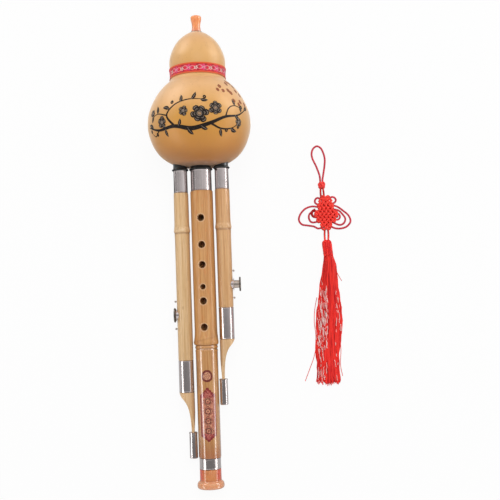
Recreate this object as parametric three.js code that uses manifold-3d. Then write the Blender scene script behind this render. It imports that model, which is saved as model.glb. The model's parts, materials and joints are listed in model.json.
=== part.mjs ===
// A hulusi: a gourd wind chest with three bamboo reed pipes, lying on a table with its red knot tassel.
// Millimetres, +Z up. The instrument lies along +Y, finger holes up, its mouthpiece end lifted by the gourd.
// Inside the instrument's own group a station is a distance along Y from the bell's end plane.
import * as THREE from "three";
import { mergeVertices } from "three/addons/utils/BufferGeometryUtils.js";
import Module from "manifold-3d";

const wasm = await Module();
wasm.setup();

// Fits that every piece shares
const fitGap = 0.3;
const cutOverrun = 4;
const quarterTurn = 90;
const halfTurn = 180;
const weldTolerance = 1e-4;

// Lengths stacked from the bell's end plane to the mouthpiece's tip
const bellHeight = 16.6;
const footFerruleLength = 9.9;
const mainBambooLength = 233.5;
const mainTopFerruleLength = 19;
const socketLipThickness = 1.4;
const socketNeckLength = 1.8;
const lowerLobeLength = 79.5;
const upperLobeLength = 42.8;
const mouthpieceLength = 15.2;

// Gourd
const bellyRadius = 46;
const crownRadius = 25.2;
const gourdWall = 4;
const lowerLobeShares = [
  [0, 0.28],
  [0.02, 0.46],
  [0.06, 0.61],
  [0.125, 0.762],
  [0.215, 0.878],
  [0.31, 0.95],
  [0.4, 0.991],
  [0.475, 1],
  [0.58, 0.983],
  [0.7, 0.911],
  [0.81, 0.805],
  [0.9, 0.677],
  [0.955, 0.575],
  [1, 0.533],
];
const upperLobeShares = [
  [0.08, 0.968],
  [0.2, 0.985],
  [0.33, 1],
  [0.43, 0.985],
  [0.55, 0.925],
  [0.68, 0.825],
  [0.8, 0.683],
  [0.9, 0.5],
  [0.96, 0.35],
  [1, 0.22],
];

// Woven ribbon round the gourd's waist
const ribbonWidth = 8.8;
const ribbonThickness = 0.6;
const ribbonRise = 8.2;

// Mouthpiece
const mouthpieceTipRadius = 4.8;
const mouthpieceTipLength = 4;
const mouthpieceWaistRadius = 3.7;
const mouthpieceWaistRise = 6.2;
const mouthpieceBaseRadius = 4.4;
const mouthpieceStemRadius = 3.3;
const mouthpieceStemLength = 12;
const mouthpieceBore = 1.9;
const mouthpieceEdge = 0.7;

// Main pipe
const mainRadius = 10;
const mainFootRadius = 9.8;
const mainBore = 5.9;
const mainFerruleRadius = 9.3;
const ferruleWall = 0.5;
const mainNodeShare = 0.591;
const mainNodeRidge = 0.1;
const mainNodeGroove = 0.5;
const mainNodePitch = 3;
const mainNodeGrooveWidth = 1.2;
const fingerHoleShares = [0.104, 0.206, 0.282, 0.365, 0.418, 0.516];
const fingerHoleRadius = 2.8;
const smallHoleRadius = 2.1;
const smallHoleIndex = 3;
const fingerHoleTurn = -6;
const thumbHoleShare = 0.058;
const tuningHoleShare = 0.72;
const tasselHoleShare = 0.86;
const tasselHoleRadius = 1.5;
const tasselHoleTurn = 42;

// Bell
const bellRadius = 9.4;
const bellLipRadius = 11.7;
const bellLipHeight = 6.4;
const bellMouthRadius = 8.6;
const bellMouthDepth = 9;
const bellRimRadius = 9.7;
const bellBore = 4.6;
const bellTenonLength = 15;

// Side pipes: bamboo, ferrules, stops, carved tails and their metal sleeves
const pipeSpacing = 18.4;
const sideRadius = 6.6;
const sideBore = 3.8;
const sideTopFerruleRadius = 6.15;
const sideNodeDrop = 34.2;
const sideNodeBulge = 0.65;
const sideNodeLength = 9;
const sideFootFerruleLength = 28.2;
const sideSeatLength = 20;
const tailLength = 34.5;
const tailTenonLength = 8;
const tailBore = 1.6;
const tailStripWidth = 2.2;
const tailStripDepth = 4.8;
const tailStripSunk = 18;
const tailScoopShares = [
  [0, 0],
  [0.1, 0.17],
  [0.22, 0.51],
  [0.36, 0.75],
  [0.55, 0.9],
  [0.8, 0.98],
  [1, 1],
];
const tailTaperShares = [
  [0, 0],
  [0.3, 0.08],
  [0.6, 0.5],
  [0.85, 0.9],
  [1, 1],
];
const sleeveRadius = 3.6;
const sleeveWall = 0.4;
const sleeveFloor = 1;
const sleeveLength = 22.5;
const leftTopFerruleLength = 20.2;
const rightTopFerruleLength = 18.8;
const rightSocketRaise = 0.9;
const stopTravel = 4.5;

// Each side's bamboo is a share of the main bamboo's length, and its stop sits at a share of its own
const sides = [
  {
    name: "left",
    way: -1,
    socketRaise: 0,
    topFerruleLength: leftTopFerruleLength,
    bambooShare: 0.63212,
    stopShare: 0.731707,
    stopOut: 0,
  },
  {
    name: "right",
    way: 1,
    socketRaise: rightSocketRaise,
    topFerruleLength: rightTopFerruleLength,
    bambooShare: 0.448394,
    stopShare: 0.808978,
    stopOut: stopTravel,
  },
];

// Stop of a side pipe: a pull knob in a bush, through a stamped plate
const stopDiscRadius = 6.4;
const stopDiscThickness = 1.5;
const stopDishDepth = 0.4;
const stopRimWidth = 1.4;
const stopNeckRadius = 3.4;
const stopTipLength = 3;
const stopTipEndRadius = 1.8;
const bushWall = 0.5;
const plateThickness = 0.6;
const plateLength = 25.8;
const plateWidth = 10.4;
const plateEndWidth = 2.4;
const plateCurlRadius = 0.9;

// Sockets in the gourd's floor
const socketLength = 12.7;
const mainSocketRadius = 8.8;
const mainSocketLipRadius = 10.5;
const sideSocketRadius = 6.2;
const sideSocketLipRadius = 7.4;
const socketLipChamfer = 0.5;

// Reed holders and their brass reeds, inside the gourd
const holderSunk = 17;
const holderCap = 2;
const mainReed = {
  rise: 45.7,
  holderBore: 2.8,
  flatHeight: 3.6,
  plateLength: 22,
  plateWidth: 7,
  plateThickness: 0.4,
  tongueLength: 14,
  tongueWidth: 3.2,
};
const sideReed = {
  rise: 38.7,
  holderBore: 1.6,
  flatHeight: 2.3,
  plateLength: 16,
  plateWidth: 3.6,
  plateThickness: 0.4,
  tongueLength: 9,
  tongueWidth: 1.8,
};
const reedSlot = 0.3;
const reedTopMargin = 3;
const windowMargin = 0.3;

// Knot tassel: cord, knots, wrapped head and skirt of thread
const cordDiameter = 1.8;
const cordSides = 8;
const cordStepDiameters = 2.5;
const buttonKnotRadius = 3.6;
const buttonKnotHalfLength = 3.9;
const knotHalfWidth = 10.2;
const knotHalfHeight = 16.4;
const knotThickness = 6;
const knotBevel = 1.4;
const knotShares = [
  [0.25, 1],
  [0.51, 0.9],
  [0.84, 0.49],
  [1, -0.03],
  [0.88, -0.58],
  [0.33, -0.88],
  [0.12, -1],
];
const headLength = 13.8;
const headRadius = 4.8;
const headEdge = 1.4;
const skirtLength = 115.5;
const skirtHalfWidth = 12;
const skirtFlatShare = 0.36;
const skirtShares = [
  [0, 0.34],
  [0.06, 0.56],
  [0.18, 0.68],
  [0.34, 0.87],
  [0.5, 1],
  [0.73, 0.87],
  [0.88, 0.82],
  [1, 0.98],
];
const buttonKnotX = 110.6;
const buttonKnotY = 61.2;
const knotX = 112.8;
const knotY = 34.5;
const headTopX = 112.3;
const headTopY = 7.6;
const skirtTurn = -2;

// Routes of the tassel's cords on the table, from one knot to the next
const cordRoutes = {
  hanging_loop: [
    [109.5, 62.5, 3.4],
    [109.6, 66.5, 2.6],
    [109.4, 71, 1.4],
    [106.6, 80.5, 1],
    [103.5, 88.2, 1],
    [103, 93.4, 1],
    [105, 98.2, 1],
    [108.3, 100.1, 1],
    [111.7, 98.2, 1],
    [114, 93.2, 1],
    [115.1, 87.5, 1],
    [114.5, 80.5, 1],
    [112.7, 71, 1.4],
    [111.8, 66.5, 2.6],
    [111.8, 62.5, 3.4],
  ],
  neck_strand_left: [
    [109.7, 60, 3.6],
    [109.3, 54, 3.1],
    [109.6, 48.5, 3],
  ],
  neck_strand_right: [
    [111.6, 60, 3.6],
    [112.2, 54, 3.1],
    [112.4, 49, 3],
  ],
  ear_left: [
    [109, 47.8, 3],
    [106.2, 49.4, 2.2],
    [104.1, 48, 1.4],
    [103.8, 45.2, 1.4],
    [106.6, 42.6, 2.4],
  ],
  ear_right: [
    [117, 47.8, 3],
    [119.6, 49.8, 2.2],
    [122.3, 49.2, 1.4],
    [123.4, 46.6, 1.4],
    [121.6, 44.2, 1.8],
    [118.4, 43.4, 2.6],
  ],
  outer_loop_left: [
    [107, 40.4, 2.6],
    [100.8, 41.7, 1],
    [94.6, 39.8, 1],
    [89.6, 34.6, 1],
    [88, 29, 1],
    [90.6, 24.9, 1],
    [96.2, 23.6, 1],
    [101.6, 22.5, 1],
    [105.6, 20.4, 1.2],
    [110.4, 21.4, 2.6],
  ],
  inner_loop_left: [
    [106, 36.9, 2.6],
    [100.6, 36.6, 1],
    [97.7, 33.6, 1],
    [97.6, 29.6, 1],
    [99.8, 26.6, 1],
    [106, 26.6, 2.6],
  ],
  outer_loop_right: [
    [119.4, 42, 2.6],
    [124.4, 40.6, 1.2],
    [129.8, 36.5, 1],
    [134.6, 31.6, 1],
    [136, 26.2, 1],
    [132.4, 21.5, 1],
    [126.6, 19.7, 1],
    [121, 20.2, 1.2],
    [115.6, 22.8, 2.6],
  ],
  inner_loop_right: [
    [120.8, 38, 2.6],
    [125.4, 36.9, 1.2],
    [128.7, 33.5, 1],
    [131.3, 28.8, 1],
    [129.8, 24.8, 1],
    [126, 23.1, 1],
    [119, 25.6, 2.6],
  ],
  small_loop_right: [
    [120.6, 33.2, 3],
    [125, 33.5, 2.2],
    [126.4, 30.9, 1.2],
    [124.8, 28.3, 1.4],
    [119.8, 28.2, 3],
  ],
  lower_strand_left: [
    [111.9, 21, 3],
    [111, 14.6, 3.4],
    [111.1, 5, 4.4],
  ],
  lower_strand_right: [
    [114.1, 21, 3],
    [114.6, 14.6, 3.4],
    [113.6, 5, 4.4],
  ],
};

// Smoothness of the round stretches
const gourdSegments = 40;
const gourdSteps = 30;
const gourdInnerSteps = 18;
const mainSegments = 24;
const sideSegments = 20;
const smallSegments = 16;
const holeSegments = 14;
const bendSteps = 6;

const finishes = {
  gourd: [0xd9a468, 0.32, 0],
  bamboo: [0xc9975c, 0.42, 0],
  sideBamboo: [0xd0a066, 0.45, 0],
  nickel: [0xc9c9cc, 0.18, 1],
  socket: [0x20282b, 0.5, 0],
  mouthpiece: [0xe2945a, 0.35, 0],
  bell: [0xd07a45, 0.25, 0],
  ribbon: [0xc4222f, 0.8, 0],
  holder: [0xe8e2d2, 0.5, 0],
  brass: [0xc9a14a, 0.3, 1],
  rubber: [0x1b1b1b, 0.8, 0],
  cord: [0xdc1e22, 0.7, 0],
};

// Stations and radii that several pieces share
const bambooFoot = bellHeight + footFerruleLength;
const bambooTop = bambooFoot + mainBambooLength;
const mainPipeTop = bambooTop + mainTopFerruleLength;
const socketFoot = mainPipeTop + fitGap;
const gourdFloor = socketFoot + socketLipThickness + socketNeckLength;
const waistStation = gourdFloor + lowerLobeLength;
const gourdTop = waistStation + upperLobeLength;
const bellRimHeight = bellLipHeight / 4;
const bushRadius = stopNeckRadius + fitGap + bushWall;
const plateFace = sideRadius + fitGap + plateThickness;
const nickelSeat = mainFerruleRadius - ferruleWall - fitGap;
const sleeveReach = mainRadius + mainNodeRidge + fitGap + sleeveRadius;

// A closed body from a three.js geometry, with its shared corners merged and its empty triangles left out
function solidOf(geometry) {
  const bare = geometry.index ? geometry.toNonIndexed() : geometry.clone();
  bare.deleteAttribute("normal");
  bare.deleteAttribute("uv");
  const merged = mergeVertices(bare, weldTolerance);
  const corners = merged.index.array;
  const kept = [];
  for (let i = 0; i < corners.length; i += 3) {
    const [a, b, c] = [corners[i], corners[i + 1], corners[i + 2]];
    if (a !== b && b !== c && c !== a) kept.push(a, b, c);
  }
  const mesh = new wasm.Mesh({
    numProp: 3,
    vertProperties: merged.attributes.position.array,
    triVerts: new Uint32Array(kept),
  });
  return new wasm.Manifold(mesh);
}

// A named mesh from a closed body, in the finish of its material
function piece(name, body, finishName) {
  const cooked = body.getMesh();
  const [color, roughness, metalness] = finishes[finishName];
  const geometry = new THREE.BufferGeometry();
  geometry.setAttribute("position", new THREE.BufferAttribute(cooked.vertProperties, 3));
  geometry.setIndex(new THREE.BufferAttribute(cooked.triVerts, 1));
  geometry.computeVertexNormals();
  const mesh = new THREE.Mesh(geometry, new THREE.MeshStandardMaterial({ color, roughness, metalness }));
  mesh.name = name;
  return mesh;
}

// A turned body from [radius, station] points, up the outside and down the inside, with a flat at the bottom
function turned(outline, segments) {
  const points = outline.map(([radius, station]) => new THREE.Vector2(radius, station));
  const onAxis = outline[0][0] === 0;
  if (!onAxis) points.push(points[0].clone());
  return solidOf(new THREE.LatheGeometry(points, segments, Math.PI / segments));
}

// A plain ring or tube between two stations
function tube(low, high, inner, outer, segments) {
  const outline = [
    [inner, low],
    [outer, low],
    [outer, high],
    [inner, high],
  ];
  return turned(outline, segments);
}

// A plain round bar between two stations
function bar(low, high, radius, segments) {
  const outline = [
    [0, low],
    [radius, low],
    [radius, high],
    [0, high],
  ];
  return turned(outline, segments);
}

// A straight drill along +Z from the axis, at a station, turned about the pipe by an angle in degrees
function drill(station, radius, reach, turn) {
  const shape = new THREE.CylinderGeometry(radius, radius, reach, holeSegments);
  shape.rotateX(Math.PI / 2);
  shape.translate(0, 0, reach / 2);
  shape.rotateY(THREE.MathUtils.degToRad(turn));
  shape.translate(0, station, 0);
  return solidOf(shape);
}

// A flat outline of [x, y] points, extruded along Z about the middle plane
function slab(outline, depth) {
  const shape = new THREE.Shape(outline.map(([x, y]) => new THREE.Vector2(x, y)));
  const geometry = new THREE.ExtrudeGeometry(shape, { depth, bevelEnabled: false });
  geometry.translate(0, 0, -depth / 2);
  return solidOf(geometry);
}

// The same outline with x standing for Z, extruded along X
function sideSlab(outline, depth) {
  const shape = new THREE.Shape(outline.map(([x, y]) => new THREE.Vector2(x, y)));
  const geometry = new THREE.ExtrudeGeometry(shape, { depth, bevelEnabled: false });
  geometry.translate(0, 0, -depth / 2);
  geometry.rotateY(Math.PI / 2);
  return solidOf(geometry);
}

// Points of a smooth outline through shares of a length and a width
function smooth(shares, length, width, steps) {
  const points = shares.map(([along, across]) => new THREE.Vector2(across * width, along * length));
  const curve = new THREE.SplineCurve(points);
  return curve.getPoints(steps).map((point) => [point.x, point.y]);
}

// Outer outline of the gourd from its floor to its neck, as one spline
function gourdCurve() {
  const lower = lowerLobeShares.map(
    ([along, across]) => new THREE.Vector2(across * bellyRadius, gourdFloor + along * lowerLobeLength),
  );
  const upper = upperLobeShares.map(
    ([along, across]) => new THREE.Vector2(across * crownRadius, waistStation + along * upperLobeLength),
  );
  return new THREE.SplineCurve([...lower, ...upper]);
}

function gourdShell() {
  const curve = gourdCurve();
  const neckBore = mouthpieceStemRadius + fitGap;
  const outer = curve.getSpacedPoints(gourdSteps).map((point) => [point.x, point.y]);
  const inner = [];
  for (let i = gourdInnerSteps; i >= 0; i -= 1) {
    const at = i / gourdInnerSteps;
    const point = curve.getPointAt(at);
    const tangent = curve.getTangentAt(at);
    const radius = point.x - tangent.y * gourdWall;
    const station = point.y + tangent.x * gourdWall;
    const insideNeck = radius > neckBore + fitGap;
    const aboveFloor = station > gourdFloor + gourdWall;
    if (insideNeck && aboveFloor) inner.push([radius, station]);
  }
  const outline = [
    [0, gourdFloor],
    ...outer,
    [neckBore, gourdTop],
    [neckBore, inner[0][1] + fitGap],
    ...inner,
    [bellyRadius * lowerLobeShares[0][1], gourdFloor + gourdWall],
    [0, gourdFloor + gourdWall],
  ];
  const shell = turned(outline, gourdSegments);
  const mainHole = socketHole(0, mainSocketRadius + fitGap, mainSegments);
  const sideHoleRadius = sideSocketRadius + fitGap;
  const holes = sides.map((side) => socketHole(side.way * pipeSpacing, sideHoleRadius, sideSegments));
  return holes.reduce((body, hole) => body.subtract(hole), shell.subtract(mainHole));
}

// The round hole that a socket takes through the gourd's floor
function socketHole(offset, radius, segments) {
  return bar(gourdFloor - cutOverrun, gourdFloor + socketLength, radius, segments).translate([offset, 0, 0]);
}

function ribbon() {
  const low = waistStation - ribbonWidth / 2 + ribbonRise / 2;
  const high = low + ribbonWidth;
  const curve = gourdCurve();
  const widest = curve
    .getSpacedPoints(gourdSteps * bendSteps)
    .filter((point) => point.y > low && point.y < high)
    .reduce((radius, point) => Math.max(radius, point.x), 0);
  return tube(low, high, widest + fitGap, widest + fitGap + ribbonThickness, gourdSegments);
}

function mouthpiece() {
  const low = gourdTop + fitGap;
  const tip = gourdTop + mouthpieceLength;
  const outline = [
    [mouthpieceBore, gourdTop - mouthpieceStemLength],
    [mouthpieceStemRadius, gourdTop - mouthpieceStemLength],
    [mouthpieceStemRadius, low],
    [mouthpieceBaseRadius, low],
    [mouthpieceBaseRadius, low + mouthpieceEdge],
    [mouthpieceWaistRadius, low + mouthpieceWaistRise],
    [mouthpieceTipRadius, tip - mouthpieceTipLength],
    [mouthpieceTipRadius, tip - mouthpieceEdge],
    [mouthpieceTipRadius - mouthpieceEdge, tip],
    [mouthpieceBore, tip],
  ];
  return turned(outline, smallSegments);
}

// A black bush through the gourd's floor, with its lip below
function socket(inner, outer, lip, raise, segments) {
  const foot = socketFoot + raise;
  const outline = [
    [inner, foot],
    [lip - socketLipChamfer, foot],
    [lip, foot + socketLipChamfer],
    [lip, foot + socketLipThickness - socketLipChamfer],
    [outer, foot + socketLipThickness],
    [outer, foot + socketLength],
    [inner, foot + socketLength],
  ];
  return turned(outline, segments);
}

// A turned reed holder with a closed top, a flat for the reed and a window under its tongue
function reedHolder(reed, bore, foot, segments) {
  const radius = bore - fitGap;
  const top = foot + holderSunk + reed.rise;
  const outline = [
    [0, top - holderCap],
    [reed.holderBore, top - holderCap],
    [reed.holderBore, foot],
    [radius, foot],
    [radius, top],
    [0, top],
  ];
  const flatLength = reed.plateLength + reedTopMargin;
  const flat = new THREE.BoxGeometry(radius * 2 + cutOverrun, flatLength + cutOverrun, radius * 2);
  flat.translate(0, top - flatLength / 2 + cutOverrun / 2, reed.flatHeight + radius);
  const window = new THREE.BoxGeometry(
    reed.tongueWidth + windowMargin * 2,
    reed.tongueLength + windowMargin * 2,
    reed.flatHeight + cutOverrun,
  );
  const windowMiddle = top - reedTopMargin - reed.plateLength / 2;
  window.translate(0, windowMiddle, (reed.flatHeight + cutOverrun) / 2);
  return turned(outline, segments).subtract(solidOf(flat)).subtract(solidOf(window));
}

// The brass plate, with the slot that frees its pointed tongue
function reedPlate(reed, foot) {
  const top = foot + holderSunk + reed.rise;
  const high = top - reedTopMargin;
  const low = high - reed.plateLength;
  const middle = (high + low) / 2;
  const halfWidth = reed.plateWidth / 2;
  const shape = new THREE.Shape();
  shape.moveTo(-halfWidth, low);
  shape.lineTo(halfWidth, low);
  shape.lineTo(halfWidth, high);
  shape.lineTo(-halfWidth, high);
  shape.closePath();
  const root = middle - reed.tongueLength / 2;
  const point = middle + reed.tongueLength / 2;
  const halfTongue = reed.tongueWidth / 2;
  const slot = new THREE.Path();
  slot.moveTo(-halfTongue, root);
  slot.lineTo(0, point);
  slot.lineTo(halfTongue, root);
  slot.lineTo(halfTongue - reedSlot, root);
  slot.lineTo(0, point - (reedSlot * reed.tongueLength) / halfTongue);
  slot.lineTo(reedSlot - halfTongue, root);
  slot.closePath();
  shape.holes.push(slot);
  const plate = new THREE.ExtrudeGeometry(shape, { depth: reed.plateThickness, bevelEnabled: false });
  plate.translate(0, 0, reed.flatHeight + fitGap);
  return solidOf(plate);
}

// The main bamboo: seats for both ferrules, its node, its bore and every hole
function mainPipe() {
  const node = bambooTop - mainNodeShare * mainBambooLength;
  const pitch = mainNodePitch;
  const ridge = mainRadius + mainNodeRidge;
  const groove = mainRadius - mainNodeGroove;
  const foot = bellHeight + fitGap;
  const outline = [
    [mainBore, foot],
    [nickelSeat, foot],
    [nickelSeat, bambooFoot],
    [mainFootRadius, bambooFoot],
    [mainFootRadius, node - pitch * 2],
    [ridge, node - pitch],
    [groove, node - mainNodeGrooveWidth / 2],
    [groove, node + mainNodeGrooveWidth / 2],
    [ridge, node + pitch],
    [mainRadius, node + pitch * 2],
    [mainRadius, bambooTop],
    [nickelSeat, bambooTop],
    [nickelSeat, mainPipeTop],
    [mainBore, mainPipeTop],
  ];
  const reach = mainRadius + cutOverrun;
  const along = (share) => bambooTop - share * mainBambooLength;
  const front = fingerHoleShares.map((share, index) => {
    const radius = index === smallHoleIndex ? smallHoleRadius : fingerHoleRadius;
    return drill(along(share), radius, reach, fingerHoleTurn);
  });
  const back = [thumbHoleShare, tuningHoleShare].map((share) =>
    drill(along(share), fingerHoleRadius, reach, halfTurn),
  );
  const cordHoles = [-1, 1].map((way) =>
    drill(along(tasselHoleShare), tasselHoleRadius, reach, halfTurn + way * tasselHoleTurn),
  );
  const bamboo = turned(outline, mainSegments);
  return [...front, ...back, ...cordHoles].reduce((body, hole) => body.subtract(hole), bamboo);
}

function bellCap() {
  const tenon = mainBore - fitGap;
  const rim = bellRimHeight;
  const outline = [
    [bellMouthRadius, 0],
    [bellRimRadius, 0],
    [bellLipRadius - rim / 2, rim / 2],
    [bellLipRadius, rim],
    [bellLipRadius, bellLipHeight - rim * 2],
    [bellLipRadius - rim / 2, bellLipHeight - rim],
    [bellRadius, bellLipHeight],
    [bellRadius, bellHeight],
    [tenon, bellHeight],
    [tenon, bellHeight + bellTenonLength],
    [bellBore, bellHeight + bellTenonLength],
    [bellBore, bellMouthDepth],
  ];
  return turned(outline, mainSegments);
}

// Stations of one side pipe, from its two ferrules down to its sleeve
function sideStations(side) {
  const top = socketFoot - fitGap + side.socketRaise;
  const topFerrule = top - side.topFerruleLength;
  const bambooLength = mainBambooLength * side.bambooShare;
  const footFerrule = topFerrule - bambooLength;
  const tail = footFerrule - sideFootFerruleLength;
  const sleeve = tail - tailLength;
  const stop = topFerrule - bambooLength * side.stopShare;
  return { top, topFerrule, footFerrule, tail, sleeve, stop };
}

// A side bamboo: turned down at both ends under its ferrules, with its node and the hole for the stop
function sidePipe(side) {
  const at = sideStations(side);
  const node = at.topFerrule - sideNodeDrop;
  const seat = sideTopFerruleRadius - ferruleWall - fitGap;
  const footSeat = sideRadius - ferruleWall - fitGap;
  const outline = [
    [sideBore, at.footFerrule - sideSeatLength],
    [footSeat, at.footFerrule - sideSeatLength],
    [footSeat, at.footFerrule],
    [sideRadius, at.footFerrule],
    [sideRadius, node - sideNodeLength / 2],
    [sideRadius + sideNodeBulge, node],
    [sideRadius + sideNodeBulge / 2, node + sideNodeLength / 4],
    [sideRadius, node + sideNodeLength / 2],
    [sideRadius, at.topFerrule],
    [seat, at.topFerrule],
    [seat, at.top],
    [sideBore, at.top],
  ];
  const reach = sideRadius + cutOverrun;
  const passage = drill(at.stop, stopNeckRadius + fitGap, reach, side.way * quarterTurn);
  const recessRadius = bushRadius + fitGap;
  const recess = new THREE.CylinderGeometry(recessRadius, recessRadius, cutOverrun * 2, holeSegments);
  recess.rotateZ(Math.PI / 2);
  recess.translate(side.way * (sideBore + cutOverrun), at.stop, 0);
  return turned(outline, sideSegments).subtract(passage).subtract(solidOf(recess));
}

// The bamboo end piece, scooped to a strip that drops into its sleeve; the pipe's air leaves at the scoop
function sideTail(side) {
  const at = sideStations(side);
  const strip = pipeSpacing - sleeveReach;
  const stripOuter = tailStripWidth / 2 - strip;
  const stripInner = -tailStripWidth / 2 - strip;
  const scoop = smooth(tailScoopShares, -tailLength, sideRadius - stripOuter, bendSteps * 2);
  const outer = scoop.map(([inset, drop]) => [side.way * (sideRadius - inset), at.tail + drop]);
  const end = at.sleeve - tailStripSunk;
  const faceOutline = [
    [-side.way * (sideRadius + cutOverrun), at.tail],
    ...outer,
    [side.way * stripOuter, end],
    [side.way * stripInner, end],
    [side.way * stripInner, at.sleeve],
    [-side.way * sideRadius, at.tail - tailLength / 2],
    [-side.way * (sideRadius + cutOverrun), at.tail - tailLength / 3],
  ];
  const taper = smooth(tailTaperShares, -tailLength, sideRadius - tailStripDepth / 2, bendSteps);
  const near = taper.map(([inset, drop]) => [sideRadius - inset, at.tail + drop]);
  const far = taper.map(([inset, drop]) => [inset - sideRadius, at.tail + drop]).reverse();
  const depthOutline = [...near, [tailStripDepth / 2, end], [-tailStripDepth / 2, end], ...far];
  const round = bar(end, at.tail, sideRadius, sideSegments);
  const carved = round
    .intersect(slab(faceOutline, sideRadius * 2 + cutOverrun))
    .intersect(sideSlab(depthOutline, sideRadius * 2 + cutOverrun));
  const seat = sideRadius - ferruleWall - fitGap;
  const seatTop = at.footFerrule - sideSeatLength - fitGap;
  const tenonOutline = [
    [0, at.tail - fitGap],
    [seat, at.tail - fitGap],
    [seat, seatTop],
    [sideBore - fitGap, seatTop],
    [sideBore - fitGap, seatTop + tailTenonLength],
    [0, seatTop + tailTenonLength],
  ];
  const airway = bar(at.sleeve, seatTop + tailTenonLength + cutOverrun, tailBore, holeSegments);
  return carved.add(turned(tenonOutline, sideSegments)).subtract(airway);
}

// The metal cup that closes a tail
function tailSleeve(side) {
  const at = sideStations(side);
  const top = at.sleeve;
  const foot = top - sleeveLength;
  const outline = [
    [0, foot],
    [sleeveRadius, foot],
    [sleeveRadius, top],
    [sleeveRadius - sleeveWall, top],
    [sleeveRadius - sleeveWall, foot + sleeveFloor],
    [0, foot + sleeveFloor],
  ];
  return turned(outline, smallSegments).translate([side.way * (sleeveReach - pipeSpacing), 0, 0]);
}

// A body turned about Y becomes one that points out of the side pipe, at the stop's station
function outward(body, side) {
  const out = body.rotate([0, 0, -quarterTurn * side.way]);
  return out.translate([0, sideStations(side).stop, 0]);
}

function stopKnob(side) {
  const face = plateFace + fitGap + side.stopOut;
  const top = face + stopDiscThickness;
  const root = side.stopOut;
  const outline = [
    [0, root],
    [stopNeckRadius, root],
    [stopNeckRadius, face],
    [stopDiscRadius, face],
    [stopDiscRadius, top],
    [stopDiscRadius - stopRimWidth, top],
    [stopDiscRadius - stopRimWidth * 2, top - stopDishDepth],
    [0, top - stopDishDepth],
  ];
  return outward(turned(outline, smallSegments), side);
}

// The rubber tip that shuts the bore when the knob is pushed in
function stopTip(side) {
  const root = side.stopOut - fitGap;
  const middle = root - stopTipLength / 3;
  const outline = [
    [0, root - stopTipLength],
    [stopTipEndRadius, root - stopTipLength],
    [(stopTipEndRadius + stopNeckRadius) / 2, middle - stopTipLength / 3],
    [stopNeckRadius - fitGap, middle],
    [stopNeckRadius - fitGap, root],
    [0, root],
  ];
  return outward(turned(outline, smallSegments), side);
}

function stopBush(side) {
  const inner = stopNeckRadius + fitGap;
  return outward(tube(sideBore + fitGap, plateFace, inner, bushRadius, smallSegments), side);
}

// A stamped plate bent round the pipe, cut to a leaf with a curl at each end
function stopPlate(side) {
  const at = sideStations(side);
  const inner = sideRadius + fitGap;
  const half = plateLength / 2;
  const shell = tube(at.stop - half, at.stop + half, inner, plateFace, smallSegments * 2);
  const leaf = [];
  for (let i = 0; i <= bendSteps * 2; i += 1) {
    const swing = (i / (bendSteps * 2)) * Math.PI;
    const across = plateEndWidth / 2 + (Math.sin(swing) * (plateWidth - plateEndWidth)) / 2;
    leaf.push([across, at.stop - half * Math.cos(swing)]);
  }
  const outline = [...leaf, ...leaf.map(([x, y]) => [-x, y]).reverse()];
  const reach = sideRadius + cutOverrun;
  const stamp = sideSlab(outline, reach).translate([(side.way * reach) / 2, 0, 0]);
  const hole = drill(at.stop, bushRadius + fitGap, reach, side.way * quarterTurn);
  const curls = [-1, 1].map((end) => {
    const roll = new THREE.CylinderGeometry(plateCurlRadius, plateCurlRadius, plateEndWidth, holeSegments);
    roll.rotateX(Math.PI / 2);
    const out = plateFace - plateThickness / 2 + plateCurlRadius / 2;
    roll.translate(side.way * out, at.stop + end * (half - plateCurlRadius), 0);
    return solidOf(roll);
  });
  return curls.reduce((plate, curl) => plate.add(curl), shell.intersect(stamp).subtract(hole));
}

function mainPipePieces() {
  const group = new THREE.Group();
  const inner = mainFerruleRadius - ferruleWall;
  const holderFoot = mainPipeTop - holderSunk;
  const topFerrule = tube(bambooTop + fitGap, mainPipeTop, inner, mainFerruleRadius, mainSegments);
  const footFerrule = tube(bellHeight + fitGap, bambooFoot - fitGap, inner, mainFerruleRadius, mainSegments);
  group.add(piece("main_pipe", mainPipe(), "bamboo"));
  group.add(piece("main_top_ferrule", topFerrule, "nickel"));
  group.add(piece("main_foot_ferrule", footFerrule, "nickel"));
  group.add(piece("bell", bellCap(), "bell"));
  group.add(piece("main_reed_holder", reedHolder(mainReed, mainBore, holderFoot, mainSegments), "holder"));
  group.add(piece("main_reed", reedPlate(mainReed, holderFoot), "brass"));
  return group;
}

function sidePipePieces(side) {
  const group = new THREE.Group();
  group.position.x = side.way * pipeSpacing;
  const at = sideStations(side);
  const named = (words) => `${side.name}_${words}`;
  const topRing = tube(
    at.topFerrule + fitGap,
    at.top,
    sideTopFerruleRadius - ferruleWall,
    sideTopFerruleRadius,
    sideSegments,
  );
  const footRing = tube(
    at.tail + fitGap,
    at.footFerrule - fitGap,
    sideRadius - ferruleWall,
    sideRadius,
    sideSegments,
  );
  const holderFoot = at.top - holderSunk;
  group.add(piece(named("pipe"), sidePipe(side), "sideBamboo"));
  group.add(piece(named("top_ferrule"), topRing, "nickel"));
  group.add(piece(named("foot_ferrule"), footRing, "nickel"));
  group.add(piece(named("tail"), sideTail(side), "sideBamboo"));
  group.add(piece(named("tail_sleeve"), tailSleeve(side), "nickel"));
  group.add(piece(named("stop_plate"), stopPlate(side), "nickel"));
  group.add(piece(named("stop_bush"), stopBush(side), "nickel"));
  group.add(piece(named("stop_knob"), stopKnob(side), "nickel"));
  group.add(piece(named("stop_tip"), stopTip(side), "rubber"));
  group.add(piece(named("reed_holder"), reedHolder(sideReed, sideBore, holderFoot, sideSegments), "holder"));
  group.add(piece(named("reed"), reedPlate(sideReed, holderFoot), "brass"));
  const bush = socket(sideBore, sideSocketRadius, sideSocketLipRadius, side.socketRaise, sideSegments);
  group.add(piece(named("socket"), bush, "socket"));
  return group;
}

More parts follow.
